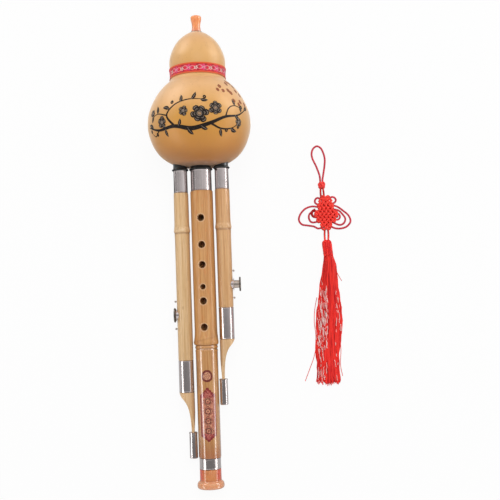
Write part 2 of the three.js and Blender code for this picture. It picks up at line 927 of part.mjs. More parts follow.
// The whole instrument in its own straight frame, then tipped so that belly and bell lip share the table
function instrument() {
  const group = new THREE.Group();
  group.add(piece("gourd", gourdShell(), "gourd"));
  group.add(piece("waist_ribbon", ribbon(), "ribbon"));
  group.add(piece("mouthpiece", mouthpiece(), "mouthpiece"));
  const mainSocket = socket(mainBore, mainSocketRadius, mainSocketLipRadius, 0, mainSegments);
  group.add(piece("main_socket", mainSocket, "socket"));
  group.add(mainPipePieces());
  sides.forEach((side) => group.add(sidePipePieces(side)));
  const lipFlat = bellLipRadius * Math.cos(Math.PI / mainSegments);
  const slopes = gourdCurve()
    .getSpacedPoints(gourdSteps)
    .map((point) => {
      const flat = point.x * Math.cos(Math.PI / gourdSegments);
      return Math.atan2(flat - lipFlat, point.y - bellRimHeight);
    });
  group.rotation.x = Math.max(...slopes);
  const reach = new THREE.Box3().setFromObject(group, true);
  const middle = reach.getCenter(new THREE.Vector3());
  group.position.set(-middle.x, -middle.y, -reach.min.z);
  return group;
}

// A stretch of the tassel's cord along its route
function cord(points) {
  const corners = points.map(([x, y, z]) => new THREE.Vector3(x, y, z));
  const path = new THREE.CatmullRomCurve3(corners, false, "centripetal");
  const section = new THREE.Shape();
  for (let i = 0; i < cordSides; i += 1) {
    const angle = (i / cordSides) * Math.PI * 2;
    const x = (Math.cos(angle) * cordDiameter) / 2;
    const y = (Math.sin(angle) * cordDiameter) / 2;
    if (i === 0) section.moveTo(x, y);
    else section.lineTo(x, y);
  }
  section.closePath();
  const steps = Math.max(2, Math.round(path.getLength() / (cordDiameter * cordStepDiameters)));
  return solidOf(new THREE.ExtrudeGeometry(section, { steps, extrudePath: path, bevelEnabled: false }));
}

// The round button knot, grown by a margin when it trims the cords that enter it
function buttonKnot(margin) {
  const radius = buttonKnotRadius + margin;
  const ball = new THREE.SphereGeometry(radius, smallSegments, holeSegments);
  ball.scale(1, (buttonKnotHalfLength + margin) / radius, 1);
  return solidOf(ball).translate([buttonKnotX, buttonKnotY, buttonKnotRadius]);
}

// The flat many-looped knot as one solid of its outer shape, grown by a margin where it trims the cords
function flatKnot(margin) {
  const right = knotShares.map(([across, along]) => [across * knotHalfWidth, along * knotHalfHeight]);
  const left = right.map(([x, y]) => [-x, y]).reverse();
  const shape = new THREE.Shape([...right, ...left].map(([x, y]) => new THREE.Vector2(x, y)));
  const knot = new THREE.ExtrudeGeometry(shape, {
    depth: knotThickness - knotBevel * 2,
    bevelThickness: knotBevel + margin,
    bevelSize: knotBevel + margin,
    bevelOffset: -knotBevel,
    bevelSegments: 2,
  });
  return solidOf(knot).translate([knotX, knotY, knotBevel]);
}

// The thread-wrapped head, its top at the origin
function tasselHead(margin) {
  const radius = headRadius + margin;
  const outline = [
    [0, -headLength],
    [radius, -headLength],
    [radius, -headEdge],
    [radius - headEdge, margin],
    [0, margin],
  ];
  return turned(outline, smallSegments).translate([0, 0, headRadius]);
}

// The skirt of threads lying flat, as one solid of its outer shape under the head
function tasselSkirt() {
  const profile = smooth(skirtShares, -skirtLength, skirtHalfWidth, bendSteps * 2).reverse();
  const outline = [[0, -skirtLength], ...profile, [0, 0]];
  const lying = turned(outline, smallSegments).scale([1, 1, skirtFlatShare]);
  return lying.translate([0, -headLength - fitGap, skirtHalfWidth * skirtFlatShare]);
}

function tassel() {
  const group = new THREE.Group();
  const skirtGroup = new THREE.Group();
  skirtGroup.position.set(headTopX, headTopY, 0);
  skirtGroup.rotation.z = THREE.MathUtils.degToRad(skirtTurn);
  skirtGroup.add(piece("tassel_head", tasselHead(0), "cord"));
  skirtGroup.add(piece("tassel_skirt", tasselSkirt(), "cord"));
  const headTrim = tasselHead(fitGap).rotate([0, 0, skirtTurn]).translate([headTopX, headTopY, 0]);
  const trims = [buttonKnot(fitGap), flatKnot(fitGap), headTrim];
  Object.entries(cordRoutes).forEach(([name, points]) => {
    const trimmed = trims.reduce((body, trim) => body.subtract(trim), cord(points));
    group.add(piece(name, trimmed, "cord"));
  });
  group.add(piece("button_knot", buttonKnot(0), "cord"));
  group.add(piece("flat_knot", flatKnot(0), "cord"));
  group.add(skirtGroup);
  return group;
}

const hulusi = new THREE.Group();
hulusi.add(instrument());
hulusi.add(tassel());
export default hulusi;
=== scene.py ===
import json
import math
import random

import bmesh
import bpy
from mathutils import Matrix, Vector


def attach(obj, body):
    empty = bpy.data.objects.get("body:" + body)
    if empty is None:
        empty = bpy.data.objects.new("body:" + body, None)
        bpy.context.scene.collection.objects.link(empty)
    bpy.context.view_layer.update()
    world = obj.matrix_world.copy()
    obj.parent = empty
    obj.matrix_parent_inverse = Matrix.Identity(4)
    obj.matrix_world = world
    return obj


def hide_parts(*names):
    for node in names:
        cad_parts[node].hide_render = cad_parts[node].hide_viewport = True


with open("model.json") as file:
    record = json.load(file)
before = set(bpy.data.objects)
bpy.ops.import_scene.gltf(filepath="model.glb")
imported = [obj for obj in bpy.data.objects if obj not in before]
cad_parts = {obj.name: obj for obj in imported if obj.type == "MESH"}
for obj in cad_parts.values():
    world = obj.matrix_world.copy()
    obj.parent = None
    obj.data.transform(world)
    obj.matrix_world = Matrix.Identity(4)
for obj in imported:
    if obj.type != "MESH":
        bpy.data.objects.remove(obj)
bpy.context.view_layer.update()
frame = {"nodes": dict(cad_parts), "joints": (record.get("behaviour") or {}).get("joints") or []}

scene = bpy.context.scene
scene.view_settings.view_transform = "Standard"

# The instrument's own frame, in millimetres: x right, y the station from the bell's end, z to the front
MM = 0.001
TURN_STATION = 286
JOINTS = {joint["name"]: joint for joint in frame["joints"]}
PIPE_AXIS = -Vector(JOINTS["main_pull"]["axis"]).normalized()
BELL_END = Vector(JOINTS["main_turn"]["pos_m"]) - PIPE_AXIS * TURN_STATION * MM
LEAN = math.atan2(PIPE_AXIS.z, PIPE_AXIS.y)
LYING = Matrix.Translation(BELL_END) @ Matrix.Rotation(LEAN, 4, "X") @ Matrix.Scale(MM, 4)
FLAT = Matrix.Scale(MM, 4)
SHARP, NO_CREASE = math.radians(32), 2.0
WHITE = (1, 1, 1, 1)

# The photo's camera, in metres, degrees and millimetres of lens
CAMERA_PLACE = (0.04136, -0.13832, 0.76822)
CAMERA_LOOK = (0, 0.18051, -0.98357)
CAMERA_ROLL = -2.11
CAMERA_SENSOR, CAMERA_LENS = 36, 60.55

# Gourd, with its bulbs' outlines as shares of their lengths and widths
GOURD_FLOOR = 282.5
LOWER_BULB = 79.5
UPPER_BULB = 42.8
BELLY_RADIUS = 46
CROWN_RADIUS = 25.2
GOURD_WALL = 4
LOWER_SHARES = [
    (0, 0.28), (0.02, 0.46), (0.06, 0.61), (0.125, 0.762), (0.215, 0.878), (0.31, 0.95), (0.4, 0.991),
    (0.475, 1), (0.58, 0.983), (0.7, 0.911), (0.81, 0.805), (0.9, 0.677), (0.955, 0.575), (1, 0.533),
]
UPPER_SHARES = [
    (0.08, 0.968), (0.2, 0.985), (0.33, 1), (0.43, 0.985), (0.55, 0.925), (0.68, 0.825), (0.8, 0.683),
    (0.9, 0.5), (0.96, 0.35), (1, 0.22),
]
GOURD_TOP = GOURD_FLOOR + LOWER_BULB + UPPER_BULB
NECK_BORE = 3.6
MAIN_HOLE, SIDE_HOLE = 9.1, 6.5
SOCKET_LENGTH = 12.7
MOUTH_TIP = 420
RIBBON_LOW, RIBBON_HIGH = 361.7, 370.5
VINE_STATION = 320

# Pipes
PIPE_SPACING = 18.4
MAIN_RADIUS = 10
MAIN_BORE = 5.9
SIDE_RADIUS = 6.6
SIDE_BORE = 3.8
MAIN_END, MAIN_FOOT, MAIN_TOP = 16.9, 26.5, 260
MAIN_NODE = 122
FERRULE_TOP = 279
FERRULE_RADIUS = 9.3
SIDE_FERRULE_RADIUS = 6.15
RING_WALL, RING_GAP = 0.5, 0.3
SEAT_RADIUS, SIDE_SEAT = 8.5, 0.8
SCAR_RISE, SCAR_SLANT = 7.2, 0.25
EMBLEM_STATION = 97.2
FINGER_HOLES = [(235.7, 2.8), (211.9, 2.8), (194.2, 2.8), (174.8, 2.1), (162.4, 2.8), (139.5, 2.8)]
FINGER_TURN = -6
BACK_HOLES = [(246.5, 2.8), (91.9, 2.8)]
CORD_HOLE = (59.2, 1.5)
CORD_HOLE_TURN = 42
DRILL_REACH = 14
# The drones: on which side each lies, its stations, and how far its stop's knob stands out
SIDES = {
    "left": {
        "way": -1, "top": 279, "top_ferrule": 258.8, "node": 224.6, "foot": 111.2, "stop": 150.8, "out": 0,
    },
    "right": {
        "way": 1, "top": 279.9, "top_ferrule": 261.1, "node": 226.9, "foot": 156.4, "stop": 176.4, "out": 4.5,
    },
}
FOOT_FERRULE = 28.2
TAIL_LENGTH = 34.5
TAIL_TENON = 28.5
AIRWAY_RADIUS = 1.6
SLEEVE_X = 14
SLEEVE_RADIUS = 3.6
SLEEVE_LENGTH = 22.5
STRIP_WIDTH = 2.2
STRIP_DEPTH = 4.8
STRIP_SUNK = 18
DISC_RADIUS = 6.4
NECK_RADIUS = 3.4
STOP_BORE = 4.5
PLATE_FACE = 7.5

# Tassel, in millimetres of the row frame
CORD_RADIUS = 0.9
HEAD_TOP = (112.3, 7.6)
HEAD_TURN = 4.5
HEAD_LENGTH = 13.8
HEAD_RADIUS = 4.8
BUTTON_KNOT = (110.6, 61.2, 3.6)
SKIRT_TOP, SKIRT_LENGTH = 6.0, 120
SKIRT_THICK, SKIRT_LOSS = 8.0, 3.8
THREAD_RADIUS, FIBRE_RADIUS = 0.30, 0.19


def through(points, steps):
    """Points of a centripetal spline through the given ones, with so many steps from each to the next."""
    line = [Vector(point) for point in points]
    line = [line[0] * 2 - line[1], *line, line[-1] * 2 - line[-2]]
    knots = [0.0]
    for a, b in zip(line, line[1:]):
        knots.append(knots[-1] + max((b - a).length, 1e-6) ** 0.5)
    made = []
    for i in range(1, len(line) - 2):
        p, t = line[i - 1:i + 3], knots[i - 1:i + 3]
        for step in range(steps):
            at = t[1] + (t[2] - t[1]) * step / steps
            a = [p[k].lerp(p[k + 1], (at - t[k]) / (t[k + 1] - t[k])) for k in range(3)]
            b = [a[k].lerp(a[k + 1], (at - t[k]) / (t[k + 2] - t[k])) for k in range(2)]
            made.append(b[0].lerp(b[1], (at - t[1]) / (t[2] - t[1])))
    made.append(line[-2])
    return made


def length_of(points):
    return sum((b - a).length for a, b in zip(points, points[1:]))


def curve(points, steps):
    """The smooth curve through flat points, as (x, y) pairs."""
    return [(point.x, point.y) for point in through(points, steps)]


def added(name, data):
    """A new object in the scene."""
    item = bpy.data.objects.new(name, data)
    scene.collection.objects.link(item)
    return item


def make_camera():
    """The photo's camera, with its small roll."""
    back = -Vector(CAMERA_LOOK).normalized()
    right = Vector((1, 0, 0))
    up = back.cross(right).normalized()
    roll = math.radians(CAMERA_ROLL)
    turned_right = right * math.cos(roll) + up * math.sin(roll)
    turned_up = up * math.cos(roll) - right * math.sin(roll)
    turn = Matrix((turned_right, turned_up, back)).transposed().to_4x4()
    data = bpy.data.cameras.new("camera")
    data.sensor_width, data.lens = CAMERA_SENSOR, CAMERA_LENS
    data.clip_start, data.clip_end = 0.02, 20
    camera = added("camera", data)
    camera.matrix_world = Matrix.Translation(CAMERA_PLACE) @ turn
    scene.camera = camera


make_camera()


class Link:
    """One value in a material's nodes. Arithmetic on it adds Math nodes."""

    def __init__(self, finish, socket):
        self.finish = finish
        self.socket = socket

    def math(self, operation, *values):
        return self.finish.node("ShaderNodeMath", {"operation": operation}, values)

    def __rsub__(self, other):
        return self.math("SUBTRACT", other, self)

    def fade(self, low, high):
        """0 below low and 1 above high, or the other way round when low is the larger."""
        settings = {"interpolation_type": "SMOOTHSTEP"}
        values = {"Value": self, "From Min": min(low, high), "From Max": max(low, high)}
        values |= {"To Min": float(low > high), "To Max": float(low < high)}
        return self.finish.node("ShaderNodeMapRange", settings, values)

    def near(self, middle, reach):
        """1 at the middle, falling to 0 at the reach on both sides."""
        return abs(self - middle).fade(reach, 0)


def math_method(operation):
    """A method of Link that adds a Math node with the link as its first value."""
    return lambda link, *others: link.math(operation, link, *others)


for method, operation in {
    "__add__": "ADD", "__radd__": "ADD", "__sub__": "SUBTRACT", "__mul__": "MULTIPLY", "__rmul__": "MULTIPLY",
    "__truediv__": "DIVIDE", "__pow__": "POWER", "__abs__": "ABSOLUTE", "sine": "SINE",
    "repeat": "FLOORED_MODULO", "least": "MINIMUM", "most": "MAXIMUM",
}.items():
    setattr(Link, method, math_method(operation))


def distance(across, up):
    """How far a point lies from the middle of a pattern."""
    return (across * across + up * up) ** 0.5


def darker(colour, share):
    return tuple(channel * share for channel in colour)


class Finish:
    """The nodes of a procedural material or of the studio's light, and the shader that they feed."""

    def __init__(self, name, world=False):
        self.output = "ShaderNodeOutputWorld" if world else "ShaderNodeOutputMaterial"
        self.material = (bpy.data.worlds if world else bpy.data.materials).new(name)
        self.material.use_nodes = True
        self.tree = self.material.node_tree
        self.tree.nodes.clear()

    def node(self, kind, settings, values, out=0):
        made = self.tree.nodes.new(kind)
        for key, value in settings.items():
            setattr(made, key, value)
        for key, value in values.items() if isinstance(values, dict) else enumerate(values):
            if isinstance(value, Link):
                self.tree.links.new(value.socket, made.inputs[key])
            else:
                made.inputs[key].default_value = value
        return Link(self, made.outputs[out])

    def mix(self, first, second, share, blend="MIX"):
        pair = [value if isinstance(value, Link) else (*value, 1) for value in (first, second)]
        settings = {"data_type": "RGBA", "blend_type": blend}
        return self.node("ShaderNodeMix", settings, {0: share, 6: pair[0], 7: pair[1]}, out=2)

    def over(self, colour, *coats):
        """A colour with coats of (tone, share) laid over it, one after the other."""
        for tone, share in coats:
            colour = self.mix(colour, tone, share)
        return colour

    def ramp(self, value, stops):
        made = self.node("ShaderNodeValToRGB", {}, [value])
        elements = made.socket.node.color_ramp.elements
        while len(elements) < len(stops):
            elements.new(0.5)
        for element, (place, colour) in zip(elements, stops):
            element.position = place
            element.color = (*colour, 1)
        return made

    def object_mm(self, **values):
        """Object coordinates in millimetres of the row frame, or shifted and turned from it."""
        where = self.node("ShaderNodeTexCoord", {}, {}, out="Object")
        return self.node("ShaderNodeMapping", {}, {"Vector": where, "Scale": (1 / MM,) * 3} | values)

    def own_mm(self, offset=0):
        """Coordinates in the instrument's own frame in millimetres, on an axis offset to the side."""
        back = Matrix.Rotation(-LEAN, 4, "X") @ -BELL_END / MM
        return self.object_mm(Location=(back.x - offset, back.y, back.z), Rotation=(-LEAN, 0, 0))

    def parts(self, vector):
        return [self.node("ShaderNodeSeparateXYZ", {}, [vector], out=axis) for axis in range(3)]

    def joined(self, x, y, z):
        return self.node("ShaderNodeCombineXYZ", {}, [x, y, z])

    def stretched(self, vector, scale):
        return self.node("ShaderNodeMapping", {}, {"Vector": vector, "Scale": scale})

    def noise(self, vector, scale, detail, roughness, stretch=None):
        if stretch:
            vector = self.stretched(vector, stretch)
        values = {"Vector": vector, "Scale": scale, "Detail": detail, "Roughness": roughness}
        return self.node("ShaderNodeTexNoise", {}, values)

    def cells(self, vector, scale):
        return self.node("ShaderNodeTexVoronoi", {}, {"Vector": vector, "Scale": scale})

    def bump(self, height, depth_mm, strength):
        values = {"Height": height, "Distance": depth_mm * MM, "Strength": strength}
        return self.node("ShaderNodeBump", {}, values)

    def angle(self, across, up):
        return self.node("ShaderNodeMath", {"operation": "ARCTAN2"}, [across, up])

    def ray(self, kind):
        return self.node("ShaderNodeLightPath", {}, {}, out=f"Is {kind} Ray")

    def end(self, shader):
        made = self.tree.nodes.new(self.output)
        self.tree.links.new(shader.socket, made.inputs["Surface"])
        return self.material

    def shade(self, colour, roughness, relief, others):
        values = {"Base Color": colour, "Roughness": roughness, "Normal": relief} | others
        return self.end(self.node("ShaderNodeBsdfPrincipled", {}, values))


def gourd_skin():
    """Polished gourd: tan above, burnt orange towards the floor, mottled, with pores and faint streaks; its
    tone by height is partly painted light and shade, and at its floor it has painted shade.
    """
    paint = Finish("gourd_skin")
    where = paint.own_mm()
    _, station, _ = paint.parts(where)
    mottle = paint.noise(where, 0.03, 3, 0.55)
    streaks = paint.noise(where, 1, 3, 0.6, stretch=(0.22, 0.02, 0.22))
    pores = paint.noise(where, 0.9, 2, 0.5).fade(0.66, 0.74)
    freckles = paint.cells(where, 0.16).fade(0.16, 0.06)
    level = (station - GOURD_FLOOR) / (LOWER_BULB + UPPER_BULB) + (mottle - 0.5) * 0.22
    # The tone by height is partly the gourd's own and partly painted light and shade: each bulb lighter at
    # its top, where the light falls, and darker below
    colour = paint.over(
        paint.ramp(level, [
            (0.0, (0.54, 0.200, 0.040)), (0.10, (0.60, 0.245, 0.040)), (0.30, (0.63, 0.300, 0.050)),
            (0.52, (0.78, 0.435, 0.180)), (0.72, (0.69, 0.375, 0.118)), (0.88, (0.73, 0.405, 0.145)),
            (1.0, (0.74, 0.390, 0.150)),
        ]),
        ((0.46, 0.215, 0.060), streaks.fade(0.48, 0.8) * 0.2),
        ((0.42, 0.19, 0.06), pores * 0.35),
        ((0.47, 0.20, 0.06), freckles * 0.22),
        # Painted shade: darker at the gourd's floor, where it meets the sockets
        ((0.20, 0.070, 0.018), station.fade(GOURD_FLOOR + 2.4, GOURD_FLOOR + 0.6) * 0.5),
    )
    relief = paint.bump(streaks * 0.4 + pores * -0.3, 0.05, 0.3)
    return paint.shade(colour, 0.42 + (mottle - 0.5) * 0.12, relief, {
        "Coat Weight": 0.15, "Coat Roughness": 0.35, "Sheen Weight": 0.75, "Sheen Roughness": 0.38,
        "Sheen Tint": (1, 0.88, 0.72, 1),
    })


def bamboo_grain(paint, where, light, mid, dark):
    """The colour and the relief of bamboo: long fibres, dark vessels and a slow change of tone."""
    fibres = paint.noise(where, 1, 4, 0.62, stretch=(1.5, 0.022, 1.5))
    bands = paint.noise(where, 1, 2, 0.5, stretch=(0.32, 0.006, 0.32))
    vessels = paint.noise(where, 1, 2, 0.5, stretch=(3.4, 0.09, 3.4)).fade(0.58, 0.68)
    tone = (fibres - 0.5) * 1.4 + (bands - 0.5) * 0.8 + 0.5
    colour = paint.ramp(tone, [(0.15, dark), (0.48, mid), (0.85, light)])
    return paint.mix(colour, darker(dark, 0.45), vessels * 0.30), fibres, vessels


def side_bamboo(name, light, mid, dark):
    """A drone pipe's bamboo, browner and dull at its node, with a few age spots."""
    paint = Finish(name + "_bamboo")
    where = paint.own_mm(SIDES[name]["way"] * PIPE_SPACING)
    node = SIDES[name]["node"]
    _, station, _ = paint.parts(where)
    colour, fibres, vessels = bamboo_grain(paint, where, light, mid, dark)
    patchy = paint.noise(where, 0.35, 2, 0.6).fade(0.35, 0.65)
    spots = paint.cells(paint.stretched(where, (1, 0.5, 1)), 0.11)
    colour = paint.over(
        colour,
        ((0.28, 0.13, 0.05), station.near(node - 1.7, 1.5) * 0.6),
        ((0.88, 0.66, 0.42), station.near(node + 1.6, 4) * patchy * 0.5),
        ((0.42, 0.21, 0.08), station.near(node + 4.6, 1.6) * patchy * 0.25),
        ((0.36, 0.17, 0.06), spots.fade(0.13, 0.05) * 0.35),
    )
    relief = paint.bump(fibres * 0.7 + vessels * -0.6, 0.10, 0.45)
    return paint.shade(colour, 0.36 + (fibres - 0.5) * 0.2, relief, {
        "Coat Weight": 0.25, "Coat Roughness": 0.2, "Sheen Weight": 0.25, "Sheen Roughness": 0.3,
    })


def cartouche(across, station):
    """Masks of the red panel on the pipe: its ground, its frame lines, its two ends and its ornament."""
    half_width, low, high, peak, repeat = 7.5, 46.0, 80.6, 6.8, 8.4
    inward = 1 - abs(across) / half_width
    crest = inward.most(0) ** 1.35 * peak + (across * 1.7).sine() ** 2 * 0.8
    outside = (abs(across) - half_width).most(station - high - crest).most(low - crest * 0.75 - station)
    ground = outside.fade(0.1, -0.1)
    frame_line = outside.near(-0.7, 1.4) * 2.5 + outside.near(-2.6, 0.5)
    ends = ground * (station.fade(high - 2.2, high - 1.8) + station.fade(low + 1.9, low + 1.5))
    along = (station - low).repeat(repeat) - repeat / 2
    ring = distance(across, along)
    lozenge = abs(across) + abs(along)
    ornament = ring.near(2.3, 0.7) * 1.5 + lozenge.near(4.5, 0.6) + ring.near(0, 1.0) * 1.5
    leaves = ((across * 2.3 + 0.5).sine() * (station * 1.9).sine()).fade(0.35, 0.6)
    inside = outside.fade(-2.0, -2.3)
    return ground, frame_line.least(1), ends.least(1), (ornament * inside + leaves * ends).least(1)


def main_bamboo():
    """The melody pipe: satin bamboo above the node, glossy lacquer below, a ring emblem and a red panel."""
    paint = Finish("main_bamboo")
    where = paint.own_mm()
    x, station, z = paint.parts(where)
    across = paint.angle(x, z) * MAIN_RADIUS
    light, mid, dark = (0.69, 0.375, 0.145), (0.57, 0.270, 0.088), (0.41, 0.155, 0.036)
    colour, fibres, vessels = bamboo_grain(paint, where, light, mid, dark)
    warm = paint.noise(where, 0.35, 2, 0.5, stretch=(1, 0.35, 1)).fade(0.62, 0.70)
    scar = (station - x * SCAR_SLANT).near(MAIN_NODE + SCAR_RISE, 1.7)
    ground, frame_line, ends, ornament = cartouche(across, station)
    speckle = paint.noise(where, 0.75, 2, 0.6).fade(0.42, 0.58)
    up = station - EMBLEM_STATION
    ring = distance(across, up)
    turn = paint.angle(across, up)
    petals = (ring - (turn * 5).sine() * 0.7).near(2.0, 0.6)
    outer_ring = (ring - (turn * 3 + 1).sine() * 0.12).near(4.3, 1.3) * 2.5
    emblem = (outer_ring + petals + ring.near(0, 0.9)).least(1)
    colour = paint.over(
        colour,
        ((0.62, 0.22, 0.06), warm * 0.40),
        ((0.25, 0.095, 0.030), station.near(MAIN_NODE + 1.5, 0.8) * 0.75),
        ((0.25, 0.095, 0.030), station.near(MAIN_NODE - 1.5, 0.8) * 0.65),
        ((0.33, 0.14, 0.045), scar * 0.25),
        ((0.44, 0.125, 0.020), station.near(MAIN_FOOT, 18) * 0.9),
        (paint.mix((0.76, 0.34, 0.20), (0.52, 0.13, 0.085), speckle), ground * 0.92),
        (paint.mix((0.20, 0.003, 0.012), (0.50, 0.070, 0.060), speckle), ends * 0.95),
        ((0.070, 0.006, 0.003), ornament * (1 - ends) * 0.88),
        ((0.70, 0.24, 0.17), ornament * ends * 0.7),
        ((0.24, 0.003, 0.008), frame_line * ground * (0.82 + speckle * 0.16)),
        ((0.76, 0.36, 0.22), ring.fade(4.8, 4.6) * 0.8),
        ((0.150, 0.003, 0.002), emblem * (0.88 + speckle * 0.12)),
    )
    aside = across - math.radians(FINGER_TURN) * MAIN_RADIUS
    for hole, radius in FINGER_HOLES:
        rim = distance(aside, station - hole).near(radius + 0.75, 0.7)
        colour = paint.mix(colour, (0.80, 0.60, 0.40), rim * z.fade(0, 1) * 0.45)
    lacquer = station.fade(MAIN_NODE + 4, MAIN_NODE - 4)
    grain = (fibres * 0.7 + vessels * -0.6) * (1 - lacquer * 0.7)
    relief = paint.bump(grain + emblem * -0.5, 0.10, 0.45)
    return paint.shade(colour, 0.34 + (fibres - 0.5) * 0.2 - lacquer * 0.14, relief, {
        "Coat Weight": lacquer * 0.92 + 0.08, "Coat Roughness": 0.07, "Coat IOR": 2.0, "Sheen Weight": 0.15,
        "Sheen Roughness": 0.3,
    })


def cut_bamboo():
    """The carved ends of the drones: bare bamboo, paler than the skin."""
    paint = Finish("cut_bamboo")
    light, mid, dark = (0.77, 0.535, 0.315), (0.69, 0.435, 0.220), (0.55, 0.30, 0.12)
    colour, fibres, vessels = bamboo_grain(paint, paint.own_mm(), light, mid, dark)
    relief = paint.bump(fibres * 0.8 + vessels * -0.6, 0.12, 0.5)
    return paint.shade(colour, 0.45, relief, {"Coat Weight": 0.12})


def nickel(name, tone, dull, painted_shade=None):
    """Nickel: bright, drawn finely along, with scratches and dull patches, and round a stop a ring of painted
    shade.
    """
    paint = Finish(name)
    where = paint.own_mm()
    drawn_lines = paint.noise(where, 1, 2, 0.6, stretch=(1.6, 0.012, 1.6))
    patches = paint.noise(where, 0.14, 3, 0.6)
    scratches = paint.noise(where, 1, 1, 0.5, stretch=(2.6, 0.12, 2.6)).fade(0.66, 0.70)
    colour = paint.over(
        tone,
        (darker(tone, 0.80), patches.fade(0.45, 0.75) * 0.4),
        (darker(tone, 0.70), drawn_lines.fade(0.50, 0.68) * 0.5),
    )
    # A ring of painted shade round the stop's axis
    if painted_shade:
        stop, radius, reach, shade_tone = painted_shade
        _, station, z = paint.parts(where)
        colour = paint.mix(colour, shade_tone, distance(station - stop, z).near(radius, reach) * 0.9)
    gloss = dull + patches.fade(0.4, 0.8) * 0.05 + scratches * 0.05
    return paint.shade(colour, gloss, paint.bump(drawn_lines, 0.006, 0.1), {"Metallic": 1.0})


PLASTIC = {"Coat Roughness": 0.05, "Subsurface Radius": (0.004, 0.0018, 0.001), "Subsurface Scale": 1.0}


def moulded(name, low_colour, high_colour, low, high, depth=0.0):
    """Moulded plastic that changes from one colour to another along the instrument, cloudy inside."""
    paint = Finish(name)
    where = paint.own_mm()
    _, station, _ = paint.parts(where)
    cloud = paint.noise(where, 0.22, 3, 0.55)
    fine = paint.noise(where, 3.0, 2, 0.5)
    colour = paint.mix(low_colour, high_colour, (station + (cloud - 0.5) * 4).fade(low, high))
    colour = paint.mix(colour, (0.86, 0.70, 0.80), cloud.fade(0.45, 0.7) * 0.5, "MULTIPLY")
    return paint.shade(colour, 0.3 + (fine - 0.5) * 0.08, paint.bump(fine, 0.02, 0.2),
                       PLASTIC | {"Coat Weight": 0.4, "Subsurface Weight": depth})


def amber(name):
    """Translucent amber plastic: pale and milky at the lip, redder in the body, with painted shade that makes
    its left and right flanks redder and a dark line in the crease where the lip meets the body.
    """
    paint = Finish(name)
    where = paint.own_mm()
    x, station, _ = paint.parts(where)
    cloud = paint.noise(where, 0.12, 3, 0.55)
    fine = paint.noise(where, 3.0, 2, 0.5)
    colour = paint.over(
        (0.73, 0.33, 0.16),
        ((0.66, 0.245, 0.085), (station + (cloud - 0.5) * 3).fade(4.5, 8.5)),
        # Painted shade: redder and darker at the left and right flanks, where the round body turns away
        ((0.64, 0.080, 0.050), abs(x).fade(4.0, 7.8) * station.fade(6, 9) * 0.85),
        ((0.86, 0.42, 0.26), station.near(1.2, 1.6) * 0.5),
        # Painted shade in the crease where the lip curls into the body
        ((0.50, 0.13, 0.05), station.near(7.4, 1.2) * 0.55),
    )
    colour = paint.mix(colour, (0.75, 0.66, 0.60), cloud.fade(0.5, 0.8) * 0.5, "MULTIPLY")
    return paint.shade(colour, 0.2 + (fine - 0.5) * 0.08, paint.bump(fine, 0.02, 0.2),
                       PLASTIC | {"Coat Weight": 0.8, "Subsurface Weight": 0.2})


def woven_ribbon():
    """Floral jacquard band: pink and white blossoms on red between orange selvedges, with a fine weave."""
    paint = Finish("woven_ribbon")
    x, station, z = paint.parts(paint.own_mm())
    along = paint.angle(x, z) * CROWN_RADIUS
    up = station - (RIBBON_LOW + RIBBON_HIGH) / 2
    repeat = math.tau * CROWN_RADIUS / 12
    first = along.repeat(repeat) - repeat / 2
    second = (along + repeat / 2).repeat(repeat) - repeat / 2
    colour = paint.mix((0.72, 0.028, 0.050), (0.50, 0.014, 0.034), (along * 0.9).sine().fade(0.2, 0.6))
    for here, rise, size, petal, heart in (
        (second, -0.3, 1.9, (0.88, 0.50, 0.46), (0.66, 0.05, 0.12)),
        (first, 0.1, 2.9, (0.84, 0.080, 0.22), (0.95, 0.42, 0.48)),
    ):
        height = up - rise
        ring = distance(here, height)
        edge = (paint.angle(here, height) * 5).sine() * (size * 0.16) + size * 0.84
        colour = paint.over(
            colour,
            (petal, (ring - edge).fade(0.12, -0.12)),
            ((0.50, 0.03, 0.10), (ring - edge).near(-0.55, 0.28) * 0.5),
            (heart, ring.fade(size * 0.34, size * 0.2)),
        )
    leaf_x = (along + repeat * 0.25).repeat(repeat / 2) - repeat / 4
    leaves = (abs(leaf_x) * 1.7 + abs(up + leaf_x * 1.2) * 1.1).fade(1.5, 1.1)
    swing = (along * math.tau / repeat).sine()
    colour = paint.over(
        colour,
        ((0.10, 0.020, 0.022), leaves * 0.85),
        ((0.90, 0.66, 0.58), (up - swing * 1.9).near(0, 0.42) * 0.6),
        ((0.90, 0.66, 0.58), (up - swing * -1.3).near(0, 0.42) * 0.6),
        ((0.80, 0.110, 0.040), abs(up).fade(3.05, 3.25)),
        ((0.30, 0.02, 0.02), abs(up).near(3.15, 0.22) * 0.7),
    )
    weft, warp = (station * 21).sine(), (along * 17).sine()
    colour = paint.mix(colour, (0.62, 0.55, 0.55), (weft * warp).fade(0.1, 0.9) * 0.45, "MULTIPLY")
    relief = paint.bump(weft * 0.5 + warp * 0.5, 0.07, 0.6)
    return paint.shade(colour, 0.62, relief, {"Specular IOR Level": 0.2, "Sheen Weight": 0.1})


